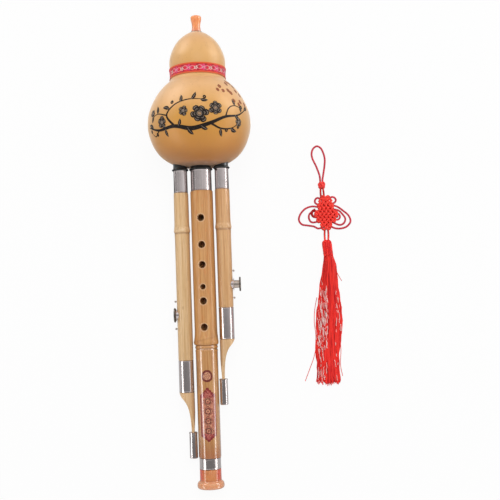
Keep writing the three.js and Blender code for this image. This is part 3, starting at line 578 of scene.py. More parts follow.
def silk(name, bright, deep, lay_lines, streaky=0.7, low=0.0, high=0.0):
    """Satin cord or thread: streaks along it, the slanting lines of its lay, and painted shade that darkens
    it low down in the knots.
    """
    paint = Finish(name)
    where = paint.object_mm()
    x, y, z = paint.parts(where)
    lay = ((x * 0.9 + y * 1.1 + z * 0.7) * lay_lines).sine()
    streaks = paint.noise(where, 1, 2, 0.6, stretch=(0.75, 0.030, 0.5)).fade(0.47, 0.66)
    fine = paint.noise(where, 1, 2, 0.6, stretch=(2.6, 0.08, 2.0)).fade(0.50, 0.70)
    fibres = paint.noise(where, 5.5, 2, 0.6)
    shares = [streaks * streaky, fine * streaky * 0.8, lay.fade(0.5, 1.0) * 0.2]
    # Painted shade: from high down to low the cord darkens towards its deep tone
    if high:
        shares.append(z.fade(high, low) * 0.9)
    colour = paint.over(bright, *[(deep, share) for share in shares])
    relief = paint.bump(lay * 0.6 + fibres * 0.6, 0.06, 0.4)
    return paint.shade(colour, 0.48 + (fibres - 0.5) * 0.2, relief, {
        "Specular IOR Level": 0.15, "Sheen Weight": 0.15, "Sheen Roughness": 0.35,
        "Sheen Tint": (1, 0.25, 0.2, 1),
    })


def brushed_paint(name, colour, worn):
    """Lacquer brushed on the gourd, thin where the brush ran dry."""
    paint = Finish(name)
    dry = paint.noise(paint.own_mm(), 0.9, 3, 0.6, stretch=(1, 1.6, 1))
    tone = paint.mix(colour, worn, dry.fade(0.50, 0.72) * 0.7)
    return paint.shade(tone, 0.5, paint.bump(dry, 0.05, 0.4), {"Specular IOR Level": 0.2})


def inner_finish(name, colour, metal, gloss):
    """A plain turned or sheet piece inside the instrument, with tool marks."""
    paint = Finish(name)
    marks = paint.noise(paint.own_mm(), 1, 2, 0.6, stretch=(0.2, 3, 0.2))
    tone = paint.mix(colour, darker(colour, 0.75), marks.fade(0.4, 0.7) * 0.6)
    return paint.shade(tone, gloss + (marks - 0.5) * 0.1, paint.bump(marks, 0.03, 0.4), {"Metallic": metal})


FINISHES = {
    "gourd": gourd_skin(),
    "main_bamboo": main_bamboo(),
    "left_bamboo": side_bamboo("left", (0.80, 0.56, 0.33), (0.70, 0.45, 0.215), (0.55, 0.30, 0.125)),
    "right_bamboo": side_bamboo("right", (0.74, 0.46, 0.225), (0.64, 0.35, 0.150), (0.49, 0.22, 0.075)),
    "cut_bamboo": cut_bamboo(),
    "nickel": nickel("nickel", (0.83, 0.755, 0.745), 0.18),
    "bell": amber("bell"),
    "ribbon": woven_ribbon(),
}
# Each stop's plate gets painted shade round its collar, under the knob's disc, and each knob painted shade on
# its disc's rim
for side_name, side_sizes in SIDES.items():
    for piece_name, tone, dull, radius, shade_tone in (
        ("plate", (0.86, 0.76, 0.69), 0.38, 4.9, (0.17, 0.075, 0.035)),
        ("knob", (0.78, 0.69, 0.61), 0.42, 6.6, (0.10, 0.09, 0.08)),
    ):
        finish_name = f"{side_name}_{piece_name}"
        FINISHES[finish_name] = nickel(finish_name, tone, dull, (side_sizes["stop"], radius, 1.7, shade_tone))
for make, rows in (
    (moulded, [
        ("socket", (0.010, 0.017, 0.019), (0.020, 0.028, 0.030), 279, 284),
        ("mouthpiece", (0.78, 0.26, 0.13), (0.90, 0.33, 0.12), 404, 412, 0.25),
    ]),
    (silk, [
        ("cord", (0.62, 0.045, 0.070), (0.36, 0.022, 0.050), 3.4, 0.4),
        # The flat knot's cord takes painted shade below 5.0 mm, darkest under 3.3 mm
        ("knot_cord", (0.97, 0.065, 0.048), (0.36, 0.003, 0.006), 3.4, 0.15, 3.3, 5.0),
        ("button_cord", (0.97, 0.075, 0.065), (0.50, 0.010, 0.012), 3.4, 0.2),
        ("thread", (1.0, 0.050, 0.036), (0.50, 0.002, 0.014), 6.0),
        # Near-white silk for the fibres that are painted highlights on the skirt
        ("frayed_silk", (1.0, 0.88, 0.84), (0.92, 0.42, 0.40), 6.0),
    ]),
    (brushed_paint, [
        ("ink", (0.012, 0.009, 0.008), (0.055, 0.040, 0.030)),
        ("grey_ink", (0.26, 0.20, 0.16), (0.42, 0.29, 0.17)),
        ("red_ink", (0.29, 0.085, 0.035), (0.48, 0.20, 0.09)),
    ]),
    (inner_finish, [
        ("holder", (0.80, 0.76, 0.66), 0.0, 0.5),
        ("brass", (0.72, 0.47, 0.16), 1.0, 0.28),
        ("rubber", (0.02, 0.02, 0.02), 0.0, 0.7),
    ]),
):
    for finish_name, *values in rows:
        FINISHES[finish_name] = make(finish_name, *values)


def mesh_of(shape, name):
    """A mesh made of the shape, which is used up."""
    mesh = bpy.data.meshes.new(name)
    shape.to_mesh(mesh)
    shape.free()
    return mesh


def shape_of(item):
    """The shape of an object with its cord or its cut worked out."""
    result = item.evaluated_get(bpy.context.evaluated_depsgraph_get())
    shape = bmesh.new()
    shape.from_mesh(result.to_mesh())
    result.to_mesh_clear()
    return shape


def finished(shape, name, body, finish, stands_for=(), place=LYING, crease=SHARP):
    """Sets a shape in its place, makes it an object in its finish, and hangs it on its body."""
    shape.transform(place)
    bmesh.ops.recalc_face_normals(shape, faces=shape.faces)
    for face in shape.faces:
        face.smooth = True
    for edge in shape.edges:
        edge.smooth = len(edge.link_faces) == 2 and edge.calc_face_angle(0) < crease
    piece = added(name, mesh_of(shape, name))
    piece.data.materials.append(FINISHES[finish])
    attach(piece, body)
    if stands_for:
        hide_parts(*stands_for)
    return piece


def tied(shape, name, finish, stands_for=(), crease=SHARP):
    """A piece of the tassel, which lies in the row frame."""
    return finished(shape, name, "tassel", finish, stands_for, FLAT, crease)


def spun(outline, segments, bevel=0.0):
    """A turned shape from (radius, station) points. An outline that starts off the axis closes on itself."""
    shape = bmesh.new()
    corners = [shape.verts.new((radius, station, 0)) for radius, station in outline]
    pairs = list(zip(corners, corners[1:]))
    if outline[0][0] > 0:
        pairs.append((corners[-1], corners[0]))
    edges = [shape.edges.new(pair) for pair in pairs]
    bmesh.ops.spin(shape, geom=corners + edges, cent=(0, 0, 0), axis=(0, 1, 0), angle=math.tau,
                   steps=segments, use_merge=True, use_duplicate=False)
    bmesh.ops.remove_doubles(shape, verts=shape.verts, dist=1e-4)
    bmesh.ops.recalc_face_normals(shape, faces=shape.faces)
    if bevel:
        sharp = [edge for edge in shape.edges if edge.is_manifold and edge.calc_face_angle(0) > SHARP]
        bmesh.ops.bevel(shape, geom=sharp, offset=bevel, segments=2, profile=0.5, affect="EDGES", material=-1)
    return shape


def rod(radius, low, high, segments):
    return spun([(0, low), (radius, low), (radius, high), (0, high)], segments)


def slab(outline, depth, across="Z"):
    """A flat outline of (x, y) points extruded both ways along Z, or turned to be extruded along X."""
    shape = bmesh.new()
    face = shape.faces.new([shape.verts.new((x, y, -depth / 2)) for x, y in outline])
    made = bmesh.ops.extrude_face_region(shape, geom=[face])
    raised = [item for item in made["geom"] if isinstance(item, bmesh.types.BMVert)]
    bmesh.ops.translate(shape, verts=raised, vec=(0, 0, depth))
    if across == "X":
        bmesh.ops.rotate(shape, verts=shape.verts, matrix=Matrix.Rotation(math.radians(90), 3, "Y"))
    bmesh.ops.recalc_face_normals(shape, faces=shape.faces)
    return shape


def together(shapes):
    """Several shapes in one."""
    joined = bmesh.new()
    for shape in shapes:
        mesh = mesh_of(shape, "part")
        joined.from_mesh(mesh)
        bpy.data.meshes.remove(mesh)
    return joined


def carved(shape, cutters, operation="DIFFERENCE"):
    """The shape cut by, or kept within, the cutters."""
    made = [added("part", mesh_of(part, "part")) for part in (shape, together(cutters))]
    cut = made[0].modifiers.new("cut", "BOOLEAN")
    cut.operation, cut.solver, cut.object = operation, "EXACT", made[1]
    shape = shape_of(made[0])
    for part in made:
        bpy.data.meshes.remove(part.data)
    bmesh.ops.remove_doubles(shape, verts=shape.verts, dist=1e-4)
    return shape


def moved(shape, x=0, y=0, z=0):
    bmesh.ops.translate(shape, verts=shape.verts, vec=(x, y, z))
    return shape


def turned(shape, degrees, axis):
    shape.transform(Matrix.Rotation(math.radians(degrees), 4, axis))
    return shape


def draped(columns, rows, place):
    """A plain grid whose points are set by their shares across and along."""
    shape = bmesh.new()
    bmesh.ops.create_grid(shape, x_segments=columns, y_segments=rows, size=0.5)
    for vertex in shape.verts:
        vertex.co = place(vertex.co.x + 0.5, vertex.co.y + 0.5)
    return shape


def drill(station, radius, turn, flare=0.0):
    """A round cutter out of the pipe's axis, with a chamfer that opens towards its outer end."""
    rim = MAIN_RADIUS - 0.75
    outline = [(0, 0), (radius, 0), (radius, rim), (radius + flare, rim + 0.9),
               (radius + flare, DRILL_REACH), (0, DRILL_REACH)]
    return moved(turned(turned(spun(outline, 40), 90, "X"), turn, "Y"), 0, station)


def outline_of_gourd():
    """The outer outline of both bulbs, from the floor to the top."""
    lower = [(BELLY_RADIUS * across, GOURD_FLOOR + along * LOWER_BULB) for along, across in LOWER_SHARES]
    waist = GOURD_FLOOR + LOWER_BULB
    upper = [(CROWN_RADIUS * across, waist + along * UPPER_BULB) for along, across in UPPER_SHARES]
    return curve(lower + upper, 6)


GOURD_LINE = outline_of_gourd()


def gourd_radius(station):
    """The gourd's radius at a station."""
    for (r0, s0), (r1, s1) in zip(GOURD_LINE, GOURD_LINE[1:]):
        if s0 <= station <= s1:
            return r0 + (r1 - r0) * (station - s0) / max(s1 - s0, 1e-6)
    return GOURD_LINE[-1][0]


def make_gourd():
    """The gourd's shell, hollow, with its neck open and three holes in its floor for the sockets."""
    inner = []
    for (r0, s0), (r1, s1) in zip(GOURD_LINE[2:-2:3], GOURD_LINE[4::3]):
        run = math.hypot(r1 - r0, s1 - s0)
        radius, station = r0 - GOURD_WALL * (s1 - s0) / run, s0 + GOURD_WALL * (r1 - r0) / run
        if radius > NECK_BORE + 0.3 and station > GOURD_FLOOR + GOURD_WALL:
            inner.append((radius, station))
    inner.reverse()
    floor = GOURD_FLOOR + GOURD_WALL
    outline = [(0, GOURD_FLOOR), *GOURD_LINE, (NECK_BORE, GOURD_TOP), (NECK_BORE, inner[0][1] + 0.3), *inner,
               (BELLY_RADIUS * LOWER_SHARES[0][1], floor), (0, floor)]
    low, high = GOURD_FLOOR - 6, GOURD_FLOOR + 10
    holes = [rod(MAIN_HOLE, low, high, 64)]
    holes += [moved(rod(SIDE_HOLE, low, high, 48), side["way"] * PIPE_SPACING) for side in SIDES.values()]
    shape = carved(spun(outline, 144), holes)
    finished(shape, "gourd_shell", "gourd", "gourd", ["gourd"])


def make_ribbon():
    """The band, which follows the waist's hollow and is a little wavy at its edges."""
    steps, thickness, stand_off, ripple = 12, 0.6, 0.15, 0.10
    middle, width = (RIBBON_LOW + RIBBON_HIGH) / 2, RIBBON_HIGH - RIBBON_LOW
    stations = [RIBBON_LOW + width * i / steps for i in range(steps + 1)]
    under = [(gourd_radius(station) + stand_off, station) for station in stations]
    over = [(radius + thickness, station) for radius, station in reversed(under)]
    shape = spun(under + over, 180)
    for vertex in shape.verts:
        turn = math.atan2(vertex.co.x, vertex.co.z)
        edge = abs(vertex.co.y - middle) / width * 2
        lift = ripple * edge ** 3 * (1 + math.sin(turn * 7) * math.cos(turn * 4 + 1))
        radius = math.hypot(vertex.co.x, vertex.co.z)
        vertex.co.x *= 1 + lift / radius
        vertex.co.z *= 1 + lift / radius
    band = finished(shape, "ribbon_band", "gourd", "ribbon", ["waist_ribbon"])


def make_mouthpiece():
    """The turned blowing tube, and the dark seal round its foot."""
    low, root, tip = GOURD_TOP + 0.3, GOURD_TOP - 12, MOUTH_TIP
    profile = [(4.5, low + 0.4), (4.25, low + 2), (3.75, low + 5.4), (3.9, low + 7.6), (4.55, tip - 4.2),
               (4.8, tip - 3.2), (4.85, tip - 1.2), (4.55, tip - 0.3), (4.0, tip)]
    outline = [
        (1.9, root), (3.3, root), (3.3, low), (4.3, low), *curve(profile, 5), (1.9, tip), (1.9, tip - 1),
    ]
    finished(spun(outline, 72), "blowing_tube", "gourd", "mouthpiece", ["mouthpiece"])
    collar = spun([(3.7, low - 0.9), (5.9, low - 0.9), (5.5, low + 0.15), (3.7, low + 0.15)], 72, 0.12)
    finished(collar, "neck_seal", "gourd", "socket")


def make_sockets():
    """The dark flanged bushes in the gourd's floor, each of which turns with its pipe."""
    for name, x, foot, inner, outer, lip, segments in (
        ("main_socket", 0, 279.3, MAIN_BORE, 8.8, 10.55, 96),
        ("left_socket", -PIPE_SPACING, 279.3, SIDE_BORE, 6.2, 7.45, 72),
        ("right_socket", PIPE_SPACING, 280.2, SIDE_BORE, 6.2, 7.45, 72),
    ):
        top = foot + SOCKET_LENGTH
        outline = [(inner, foot), (lip - 0.4, foot), (lip, foot + 0.45), (lip - 0.1, foot + 0.9),
                   (outer + 0.35, foot + 1.5), (outer, foot + 2.6), (outer, top), (inner, top)]
        shape = moved(spun(outline, segments, 0.1), x)
        finished(shape, name + "_bush", name, "socket", [name])


def ring(low, high, outer, segments):
    """A metal tube with a fine rolled bead at each end."""
    inner, beaded = outer - RING_WALL, outer + 0.14
    return spun([
        (inner, low + 0.1), (outer - 0.1, low), (beaded, low + 0.15), (beaded, low + 0.65),
        (outer, low + 0.85), (outer, high - 0.85), (beaded, high - 0.65), (beaded, high - 0.15),
        (outer - 0.1, high), (inner, high - 0.1),
    ], segments)


def make_main_pipe():
    """The melody pipe's bamboo, with the knuckle of its node and all its holes, and its two rings."""
    knuckle = curve([(radius, MAIN_NODE + rise) for radius, rise in (
        (9.78, -9), (9.84, -4.5), (9.95, -3.0), (9.9, -2.3), (9.45, -1.5), (9.9, -0.7), (10.05, 0),
        (9.95, 0.6), (9.45, 1.5), (10.3, 2.2), (10.8, 3.2), (10.85, 4.8), (10.6, 6.8), (10.3, 9),
        (10.08, 12), (10, 15),
    )], 3)
    outline = [
        (MAIN_BORE, MAIN_END), (SEAT_RADIUS, MAIN_END), (SEAT_RADIUS, MAIN_FOOT), (9.5, MAIN_FOOT),
        (9.8, MAIN_FOOT + 0.6), *knuckle, (10, MAIN_TOP - 0.3), (9.8, MAIN_TOP), (SEAT_RADIUS, MAIN_TOP),
        (SEAT_RADIUS, FERRULE_TOP), (MAIN_BORE, FERRULE_TOP),
    ]
    cutters = [drill(station, radius + 0.15, FINGER_TURN, 0.5) for station, radius in FINGER_HOLES]
    cutters += [drill(station, radius, 180, 0.3) for station, radius in BACK_HOLES]
    cutters += [drill(*CORD_HOLE, 180 + way * CORD_HOLE_TURN, 0.25) for way in (-1, 1)]
    shape = carved(spun(outline, 96), cutters)
    skin, scar_half, scar_swell = 9.5, 3, 0.25
    cup_gap, cup_half, cup_hollow = 0.3, 12, 10.05
    for vertex in shape.verts:
        place = vertex.co
        radius = math.hypot(place.x, place.z)
        off_scar = place.y - place.x * SCAR_SLANT - MAIN_NODE - SCAR_RISE
        if radius > skin and abs(off_scar) < scar_half:
            swell = 1 + scar_swell * math.exp(-off_scar ** 2) / radius
            place.x, place.z = place.x * swell, place.z * swell
        # Room for the metal cup that lies against the node
        aside = math.hypot(place.x - SLEEVE_X, place.z)
        if aside < SLEEVE_RADIUS + cup_gap and abs(place.y - MAIN_NODE) < cup_half:
            radius = math.hypot(place.x, place.z)
            place.x, place.z = place.x * cup_hollow / radius, place.z * cup_hollow / radius
    finished(shape, "main_bamboo_pipe", "main_pipe", "main_bamboo", ["main_pipe"])
    for name, node, low, high in (
        ("main_upper_ring", "main_top_ferrule", MAIN_TOP + RING_GAP, FERRULE_TOP),
        ("main_lower_ring", "main_foot_ferrule", MAIN_END, MAIN_FOOT - RING_GAP),
    ):
        finished(ring(low, high, FERRULE_RADIUS, 96), name, "main_pipe", "nickel", [node])


def make_bell():
    """The amber cap with its rolled lip, and the tenon that goes up into the pipe."""
    lip = [(9.7, 0), (10.9, 0.35), (11.6, 1.3), (11.75, 2.6), (11.6, 4.2), (11.1, 5.3), (10.2, 6.1),
           (9.6, 6.7), (9.4, 8.0)]
    outline = [(8.6, 0.25), *curve(lip, 4), (9.35, 16.2), (9.2, 16.6), (5.6, 16.6), (5.6, 31.6), (4.6, 31.6),
               (4.6, 9.4), (5.0, 8.4), (8.1, 1.4)]
    finished(spun(outline, 96), "bell_cap", "main_pipe", "bell", ["bell"])


def make_side_pipe(name, side):
    """A drone's bamboo, with the knuckle of its node and the bore of its stop, and its two rings."""
    node, foot, shoulder, top = side["node"], side["foot"], side["top_ferrule"], side["top"]
    x, body = side["way"] * PIPE_SPACING, name + "_pipe"
    foot_seat, top_seat = SIDE_RADIUS - SIDE_SEAT, SIDE_FERRULE_RADIUS - SIDE_SEAT
    knuckle = [(SIDE_RADIUS + swell, node + rise) for swell, rise in (
        (0, -7), (0.12, -3), (0.16, -2.1), (-0.05, -1.6), (0.45, -0.8), (0.68, 0.3), (0.6, 1.4), (0.3, 3.0),
        (0.05, 5.5), (0, 9),
    )]
    outline = [
        (SIDE_BORE, foot - 20), (foot_seat, foot - 20), (foot_seat, foot), (SIDE_RADIUS - 0.15, foot),
        (SIDE_RADIUS, foot + 0.4), *knuckle, (SIDE_RADIUS - 0.1, shoulder - 0.4),
        (SIDE_RADIUS - 0.3, shoulder), (top_seat, shoulder), (top_seat, top), (SIDE_BORE, top),
    ]
    bore = drill(side["stop"], STOP_BORE, side["way"] * 90)
    shape = moved(carved(spun(outline, 80), [bore]), x)
    finished(shape, name + "_bamboo_pipe", body, name + "_bamboo", [body])
    for words, ferrule, low, high, radius in (
        ("upper_ring", "top_ferrule", shoulder + RING_GAP, top, SIDE_FERRULE_RADIUS),
        ("lower_ring", "foot_ferrule", foot - FOOT_FERRULE + RING_GAP, foot - RING_GAP, SIDE_RADIUS),
    ):
        shape = moved(ring(low, high, radius, 80), x)
        finished(shape, f"{name}_{words}", body, "nickel", [f"{name}_{ferrule}"])


def make_tail(name, side):
    """The carved bamboo end, its strip and the metal cup that it drops into."""
    way, x, body = side["way"], side["way"] * PIPE_SPACING, name + "_pipe"
    top = side["foot"] - FOOT_FERRULE
    cup_top = top - TAIL_LENGTH
    end = cup_top - STRIP_SUNK
    above = top + TAIL_TENON
    wide = SIDE_RADIUS + 4
    strip = PIPE_SPACING - SLEEVE_X
    out, near = STRIP_WIDTH / 2 - strip, -STRIP_WIDTH / 2 - strip
    scoop = [(0, 0), (0.10, 0.17), (0.22, 0.51), (0.36, 0.75), (0.55, 0.90), (0.80, 0.98), (1, 1)]
    edge = curve([(way * (SIDE_RADIUS - inset * (SIDE_RADIUS - out)), top - drop * TAIL_LENGTH)
                  for drop, inset in scoop], 5)
    front = [
        (-way * wide, above), (way * wide, above), (way * wide, top + 0.2), (way * SIDE_RADIUS, top + 0.2),
        *edge, (way * out, end), (way * near, end), (way * near, cup_top),
        (-way * SIDE_RADIUS, top - TAIL_LENGTH / 2), (-way * wide, top - TAIL_LENGTH / 3),
    ]
    half = STRIP_DEPTH / 2
    taper = [(0, 0), (0.3, 0.08), (0.6, 0.5), (0.85, 0.9), (1, 1)]
    taper = curve([(inset * (SIDE_RADIUS - half), drop * TAIL_LENGTH) for drop, inset in taper], 5)
    taper = [(SIDE_RADIUS - inset, top - drop) for inset, drop in taper]
    edgeways = [(-SIDE_RADIUS, above), (SIDE_RADIUS, above), *taper, (half, end), (-half, end)]
    edgeways += [(-across, station) for across, station in reversed(taper)]
    seat, tenon = SIDE_RADIUS - SIDE_SEAT, SIDE_BORE - 0.3
    tenon_low, tenon_high = side["foot"] - 20.3, side["foot"] - 12.3
    shape = spun([(0, end), (SIDE_RADIUS, end), (SIDE_RADIUS, top), (seat, top), (seat, tenon_low),
                  (tenon, tenon_low), (tenon, tenon_high), (0, tenon_high)], 96)
    shape = carved(shape, [slab(front, wide * 2)], "INTERSECT")
    shape = carved(shape, [slab(edgeways, wide * 2, "X")], "INTERSECT")
    shape = carved(shape, [rod(AIRWAY_RADIUS, cup_top, tenon_high + 2, 32)])
    finished(moved(shape, x), name + "_carved_tail", body, "cut_bamboo", [name + "_tail"])
    foot, radius = cup_top - SLEEVE_LENGTH, SLEEVE_RADIUS
    cup = [(0, foot), (radius - 0.5, foot), (radius - 0.05, foot + 0.5), (radius - 0.1, cup_top - 1.4),
           (radius + 0.12, cup_top - 0.9), (radius + 0.12, cup_top - 0.15), (radius - 0.1, cup_top),
           (radius - 0.4, cup_top), (radius - 0.45, foot + 1), (0, foot + 1)]
    shape = moved(spun(cup, 64), way * SLEEVE_X)
    finished(shape, name + "_metal_cup", body, "nickel", [name + "_tail_sleeve"])


def leaf_plate(stop, way):
    """A stamped leaf bent round the pipe, with a low ring round its hole and a curl at each end."""
    half, widest, narrowest, thick = 12.8, 10.4, 2.4, 0.6

    def place(across, along):
        swing = math.pi * along
        scallop = 0.35 * abs(math.sin(swing * 5)) * math.sin(swing)
        reach = narrowest / 2 + math.sin(swing) ** 1.3 * (widest - narrowest) / 2 + scallop
        aside = 2 * across - 1
        turn = reach * aside * way / PLATE_FACE
        lift = PLATE_FACE - thick + 0.25 * (1 - abs(aside)) * math.sin(swing)
        return way * math.cos(turn) * lift, stop - half * math.cos(swing), math.sin(turn) * lift

    shape = draped(12, 48, place)
    bmesh.ops.solidify(shape, geom=shape.faces, thickness=thick)
    bmesh.ops.recalc_face_normals(shape, faces=shape.faces)
    shapes = [carved(shape, [drill(stop, STOP_BORE, way * 90)])]
    for end in (-1, 1):
        roll = spun([(0, -1.4), (0.7, -1.4), (0.9, -1.1), (0.9, 1.1), (0.7, 1.4), (0, 1.4)], 32)
        shapes.append(moved(turned(roll, 90, "X"), way * (PLATE_FACE + 0.2), stop + end * (half - 0.8)))
    collar = spun([(STOP_BORE, 0), (5.5, 0), (5.3, 0.24), (4.9, 0.34), (STOP_BORE, 0.28)], 48)
    shapes.append(moved(turned(collar, -90 * way, "Z"), way * (PLATE_FACE - 0.1), stop))
    return together(shapes)


def make_stop(name, side):
    """A stop's leaf plate, on the pipe, and its pull knob, which slides."""
    way, x, stop, root = side["way"], side["way"] * PIPE_SPACING, side["stop"], side["out"]
    shape = moved(leaf_plate(stop, way), x)
    finished(shape, name + "_leaf_plate", name + "_pipe", name + "_plate", [name + "_stop_plate"])
    face = PLATE_FACE + 0.3 + root
    outline = [(0, root), (NECK_RADIUS - 0.2, root), (NECK_RADIUS, root + 0.3), (NECK_RADIUS, face - 0.26),
               (NECK_RADIUS + 0.4, face)]
    outline += [(DISC_RADIUS - inset, face + rise) for inset, rise in (
        (0.9, 0), (0.1, 0.25), (0, 0.75), (0.15, 1.25), (0.6, 1.5), (1.4, 1.5), (1.7, 1.15))]
    outline += [(2.4, face + 1.1), (2.1, face + 1.35), (1.2, face + 1.5), (0, face + 1.55)]
    shape = moved(turned(spun(outline, 72), -90 * way, "Z"), x, stop)
    finished(shape, name + "_pull_knob", name + "_stop", name + "_knob", [name + "_stop_knob"])


def stroke(points, widths, lift):
    """A brush stroke on the gourd: a strip along (round, along) points, as wide as the widths say."""
    line = through([(u, v, 0) for u, v in points], 6)
    spread = through([(i, width, 0) for i, width in enumerate(widths)], 8)
    last = len(line) - 1

    def place(across, along):
        i = round(along * last)
        ahead = (line[min(i + 1, last)] - line[max(i - 1, 0)]).normalized()
        half = max(spread[round(i / last * (len(spread) - 1))].y, 0.03)
        corner = line[i] + Vector((-ahead.y, ahead.x, 0)) * half * (2 * across - 1)
        turn, radius = corner.x / BELLY_RADIUS, gourd_radius(corner.y) + lift
        return math.sin(turn) * radius, corner.y, math.cos(turn) * radius

    return draped(2, last, place)


def brushed(name, finish, strokes, lift):
    """One coat of the painting, from its strokes, as a thin film on the gourd."""
    shape = together([stroke(points, widths, lift) for points, widths in strokes])
    bmesh.ops.solidify(shape, geom=shape.faces, thickness=0.06)
    finished(shape, name, "gourd", finish)


def blossom(u, v, size, count, turn):
    """A full flower: heavy petals that lap, and the light lines drawn in them and in its heart."""
    dark, light = [], []
    wide = size * 2.0 / count
    for i in range(count):
        angle = turn + math.tau * i / count
        ahead_u, ahead_v = math.cos(angle), math.sin(angle)
        reach = size * (0.92 + 0.08 * math.sin(i * 2.4 + size))
        bend = 0.10 * math.cos(i * 1.9)

        def at(out, aside):
            return u + ahead_u * out - ahead_v * aside, v + ahead_v * out + ahead_u * aside

        petal = [at(reach * k, bend * k * reach * k) for k in (0.15, 0.5, 0.8, 1.0)]
        dark.append((petal, [wide * 0.3, wide * 0.9, wide, wide * 0.45]))
        for share, half, thick in ((0.86, 0.62, 0.26), (0.58, 0.45, 0.22)):
            arc = [at(reach * (share - 0.13 * k * k), k * half * wide) for k in (-1, -0.5, 0, 0.5, 1)]
            light.append((arc, [0.08, thick, thick, thick, 0.08]))
    light.append(round_stroke(u, v, size * 0.24, 0.26))
    light.append(round_stroke(u, v, size * 0.07, 0.30))
    return dark, light


def leaf(u, v, length, angle, wide):
    """A pointed leaf that bends a little, from its stalk at (u, v)."""
    points = []
    for share in (0, 0.35, 0.7, 1):
        bend = angle + 0.35 * share
        points.append((u + math.cos(bend) * length * share, v + math.sin(bend) * length * share))
    return points, [0.12, wide, wide * 0.8, 0.06]


def round_stroke(u, v, size, wide):
    """A small ring drawn in one stroke."""
    turns = [math.tau * i / 10 for i in range(11)]
    return [(u + math.cos(turn) * size, v + math.sin(turn) * size) for turn in turns], [wide, wide, wide]


def make_painting():
    """A vine with full flowers, leaves and berries, brushed round the belly's front, and petals that fall."""
    vine = [([(u, VINE_STATION + v) for u, v in points], widths) for points, widths in (
        ([(-54, -5), (-38, -10), (-20, -9), (-4, -12), (12, -8), (26, -2), (40, 1), (54, 9)],
         [0.45, 1.0, 1.5, 1.8, 1.5, 1.1, 0.7, 0.3]),
        ([(-20, -9), (-27, 1), (-20, 9), (-8, 13), (6, 13)], [1.1, 0.8, 0.6, 0.5, 0.25]),
        ([(12, -8), (22, -12), (33, -11), (40, -7)], [0.9, 0.7, 0.5, 0.25]),
        ([(26, -2), (30, 6), (37, 9), (44, 8)], [0.7, 0.5, 0.4, 0.25]),
        ([(-38, -10), (-46, -14), (-50, -11)], [0.6, 0.4, 0.2]),
        ([(-27, 1), (-38, 4), (-47, 2)], [0.6, 0.4, 0.2]),
    )]
    leaves = [leaf(u, VINE_STATION + v, *form) for u, v, *form in (
        (-46, -7, 8, 2.3, 1.7), (-38, 4, 7, 1.4, 1.6), (-44, 3, 6, 3.9, 1.4), (-24, 6, 8, 2.5, 1.7),
        (-14, 11, 7, 1.2, 1.5), (-4, 13, 8, 0.7, 1.6), (4, 13, 7, -0.5, 1.5), (22, -12, 7, -1.6, 1.5),
        (32, -11, 8, -0.6, 1.6), (38, -8, 6, 0.6, 1.4), (36, 1, 8, -0.9, 1.6), (44, 4, 7, 1.3, 1.5),
        (50, 8, 7, 0.0, 1.4), (37, 9, 6, 1.5, 1.4), (-30, -10, 7, -1.7, 1.5), (-8, -11, 8, -1.2, 1.7),
        (4, -10, 7, -0.8, 1.6), (-16, -9, 6, 0.9, 1.4),
    )]
    flowers, lines = [], []
    for u, v, *form in (
        (3, 0, 8.2, 6, 0.1), (17, 5, 6.6, 6, 0.5), (-33, -4, 5.4, 5, 0.2), (-11, 3, 4.6, 5, 0.0),
        (41, -5, 4.0, 5, 0.5), (-46, 6, 3.6, 5, 0.9),
    ):
        dark, light = blossom(u, VINE_STATION + v, *form)
        flowers += dark
        lines += light
    berries = [round_stroke(u, VINE_STATION + v, 1.0, 0.6) for u, v in (
        (-51, -9), (-22, 12), (-42, -13), (41, -9), (55, 10), (8, 15), (46, 9), (28, -13))]
    falling = [leaf(u, VINE_STATION + v, size, angle, 2.0) for u, v, size, angle in (
        (21, 22, 3.6, 0.4), (30, 21, 3.8, 2.2), (42, 12, 3.8, -0.5), (48, 31, 3.8, 1.2), (42, 34, 3.6, -0.4),
        (24, 27, 4.6, -0.3), (34, 25, 4.8, -0.9), (38, 29, 4.2, 0.9), (40, 20, 5.0, 2.4), (47, 25, 4.6, -0.2),
        (46, 16, 4.6, -1.0), (53, 20, 4.4, 1.0), (36, 14, 4.2, -0.2), (52, 28, 4.0, 2.0), (54, 12, 4.2, 0.6),
    )]
    veins = [(points, [0.08, 0.2, 0.16, 0.05]) for points, _ in leaves]
    brushed("painted_vine", "ink", vine + leaves + berries, 0.05)
    brushed("painted_petals", "ink", flowers, 0.07)
    brushed("painted_lights", "grey_ink", veins + lines, 0.12)
    brushed("painted_falling_petals", "red_ink", falling, 0.05)


def cord_mesh(lines, radius, sides=10):
    """Round cord along one or more lines of points in millimetres, as one shape."""
    data = bpy.data.curves.new("line", "CURVE")
    data.dimensions = "3D"
    data.bevel_depth = radius
    data.bevel_resolution = max(0, sides // 2 - 2)
    data.use_fill_caps = True
    for line in lines:
        spline = data.splines.new("POLY")
        spline.points.add(len(line) - 1)
        for place, point in zip(spline.points, line):
            place.co = (*point, 1)
    shape = shape_of(added("line", data))
    bpy.data.curves.remove(data)
    return shape


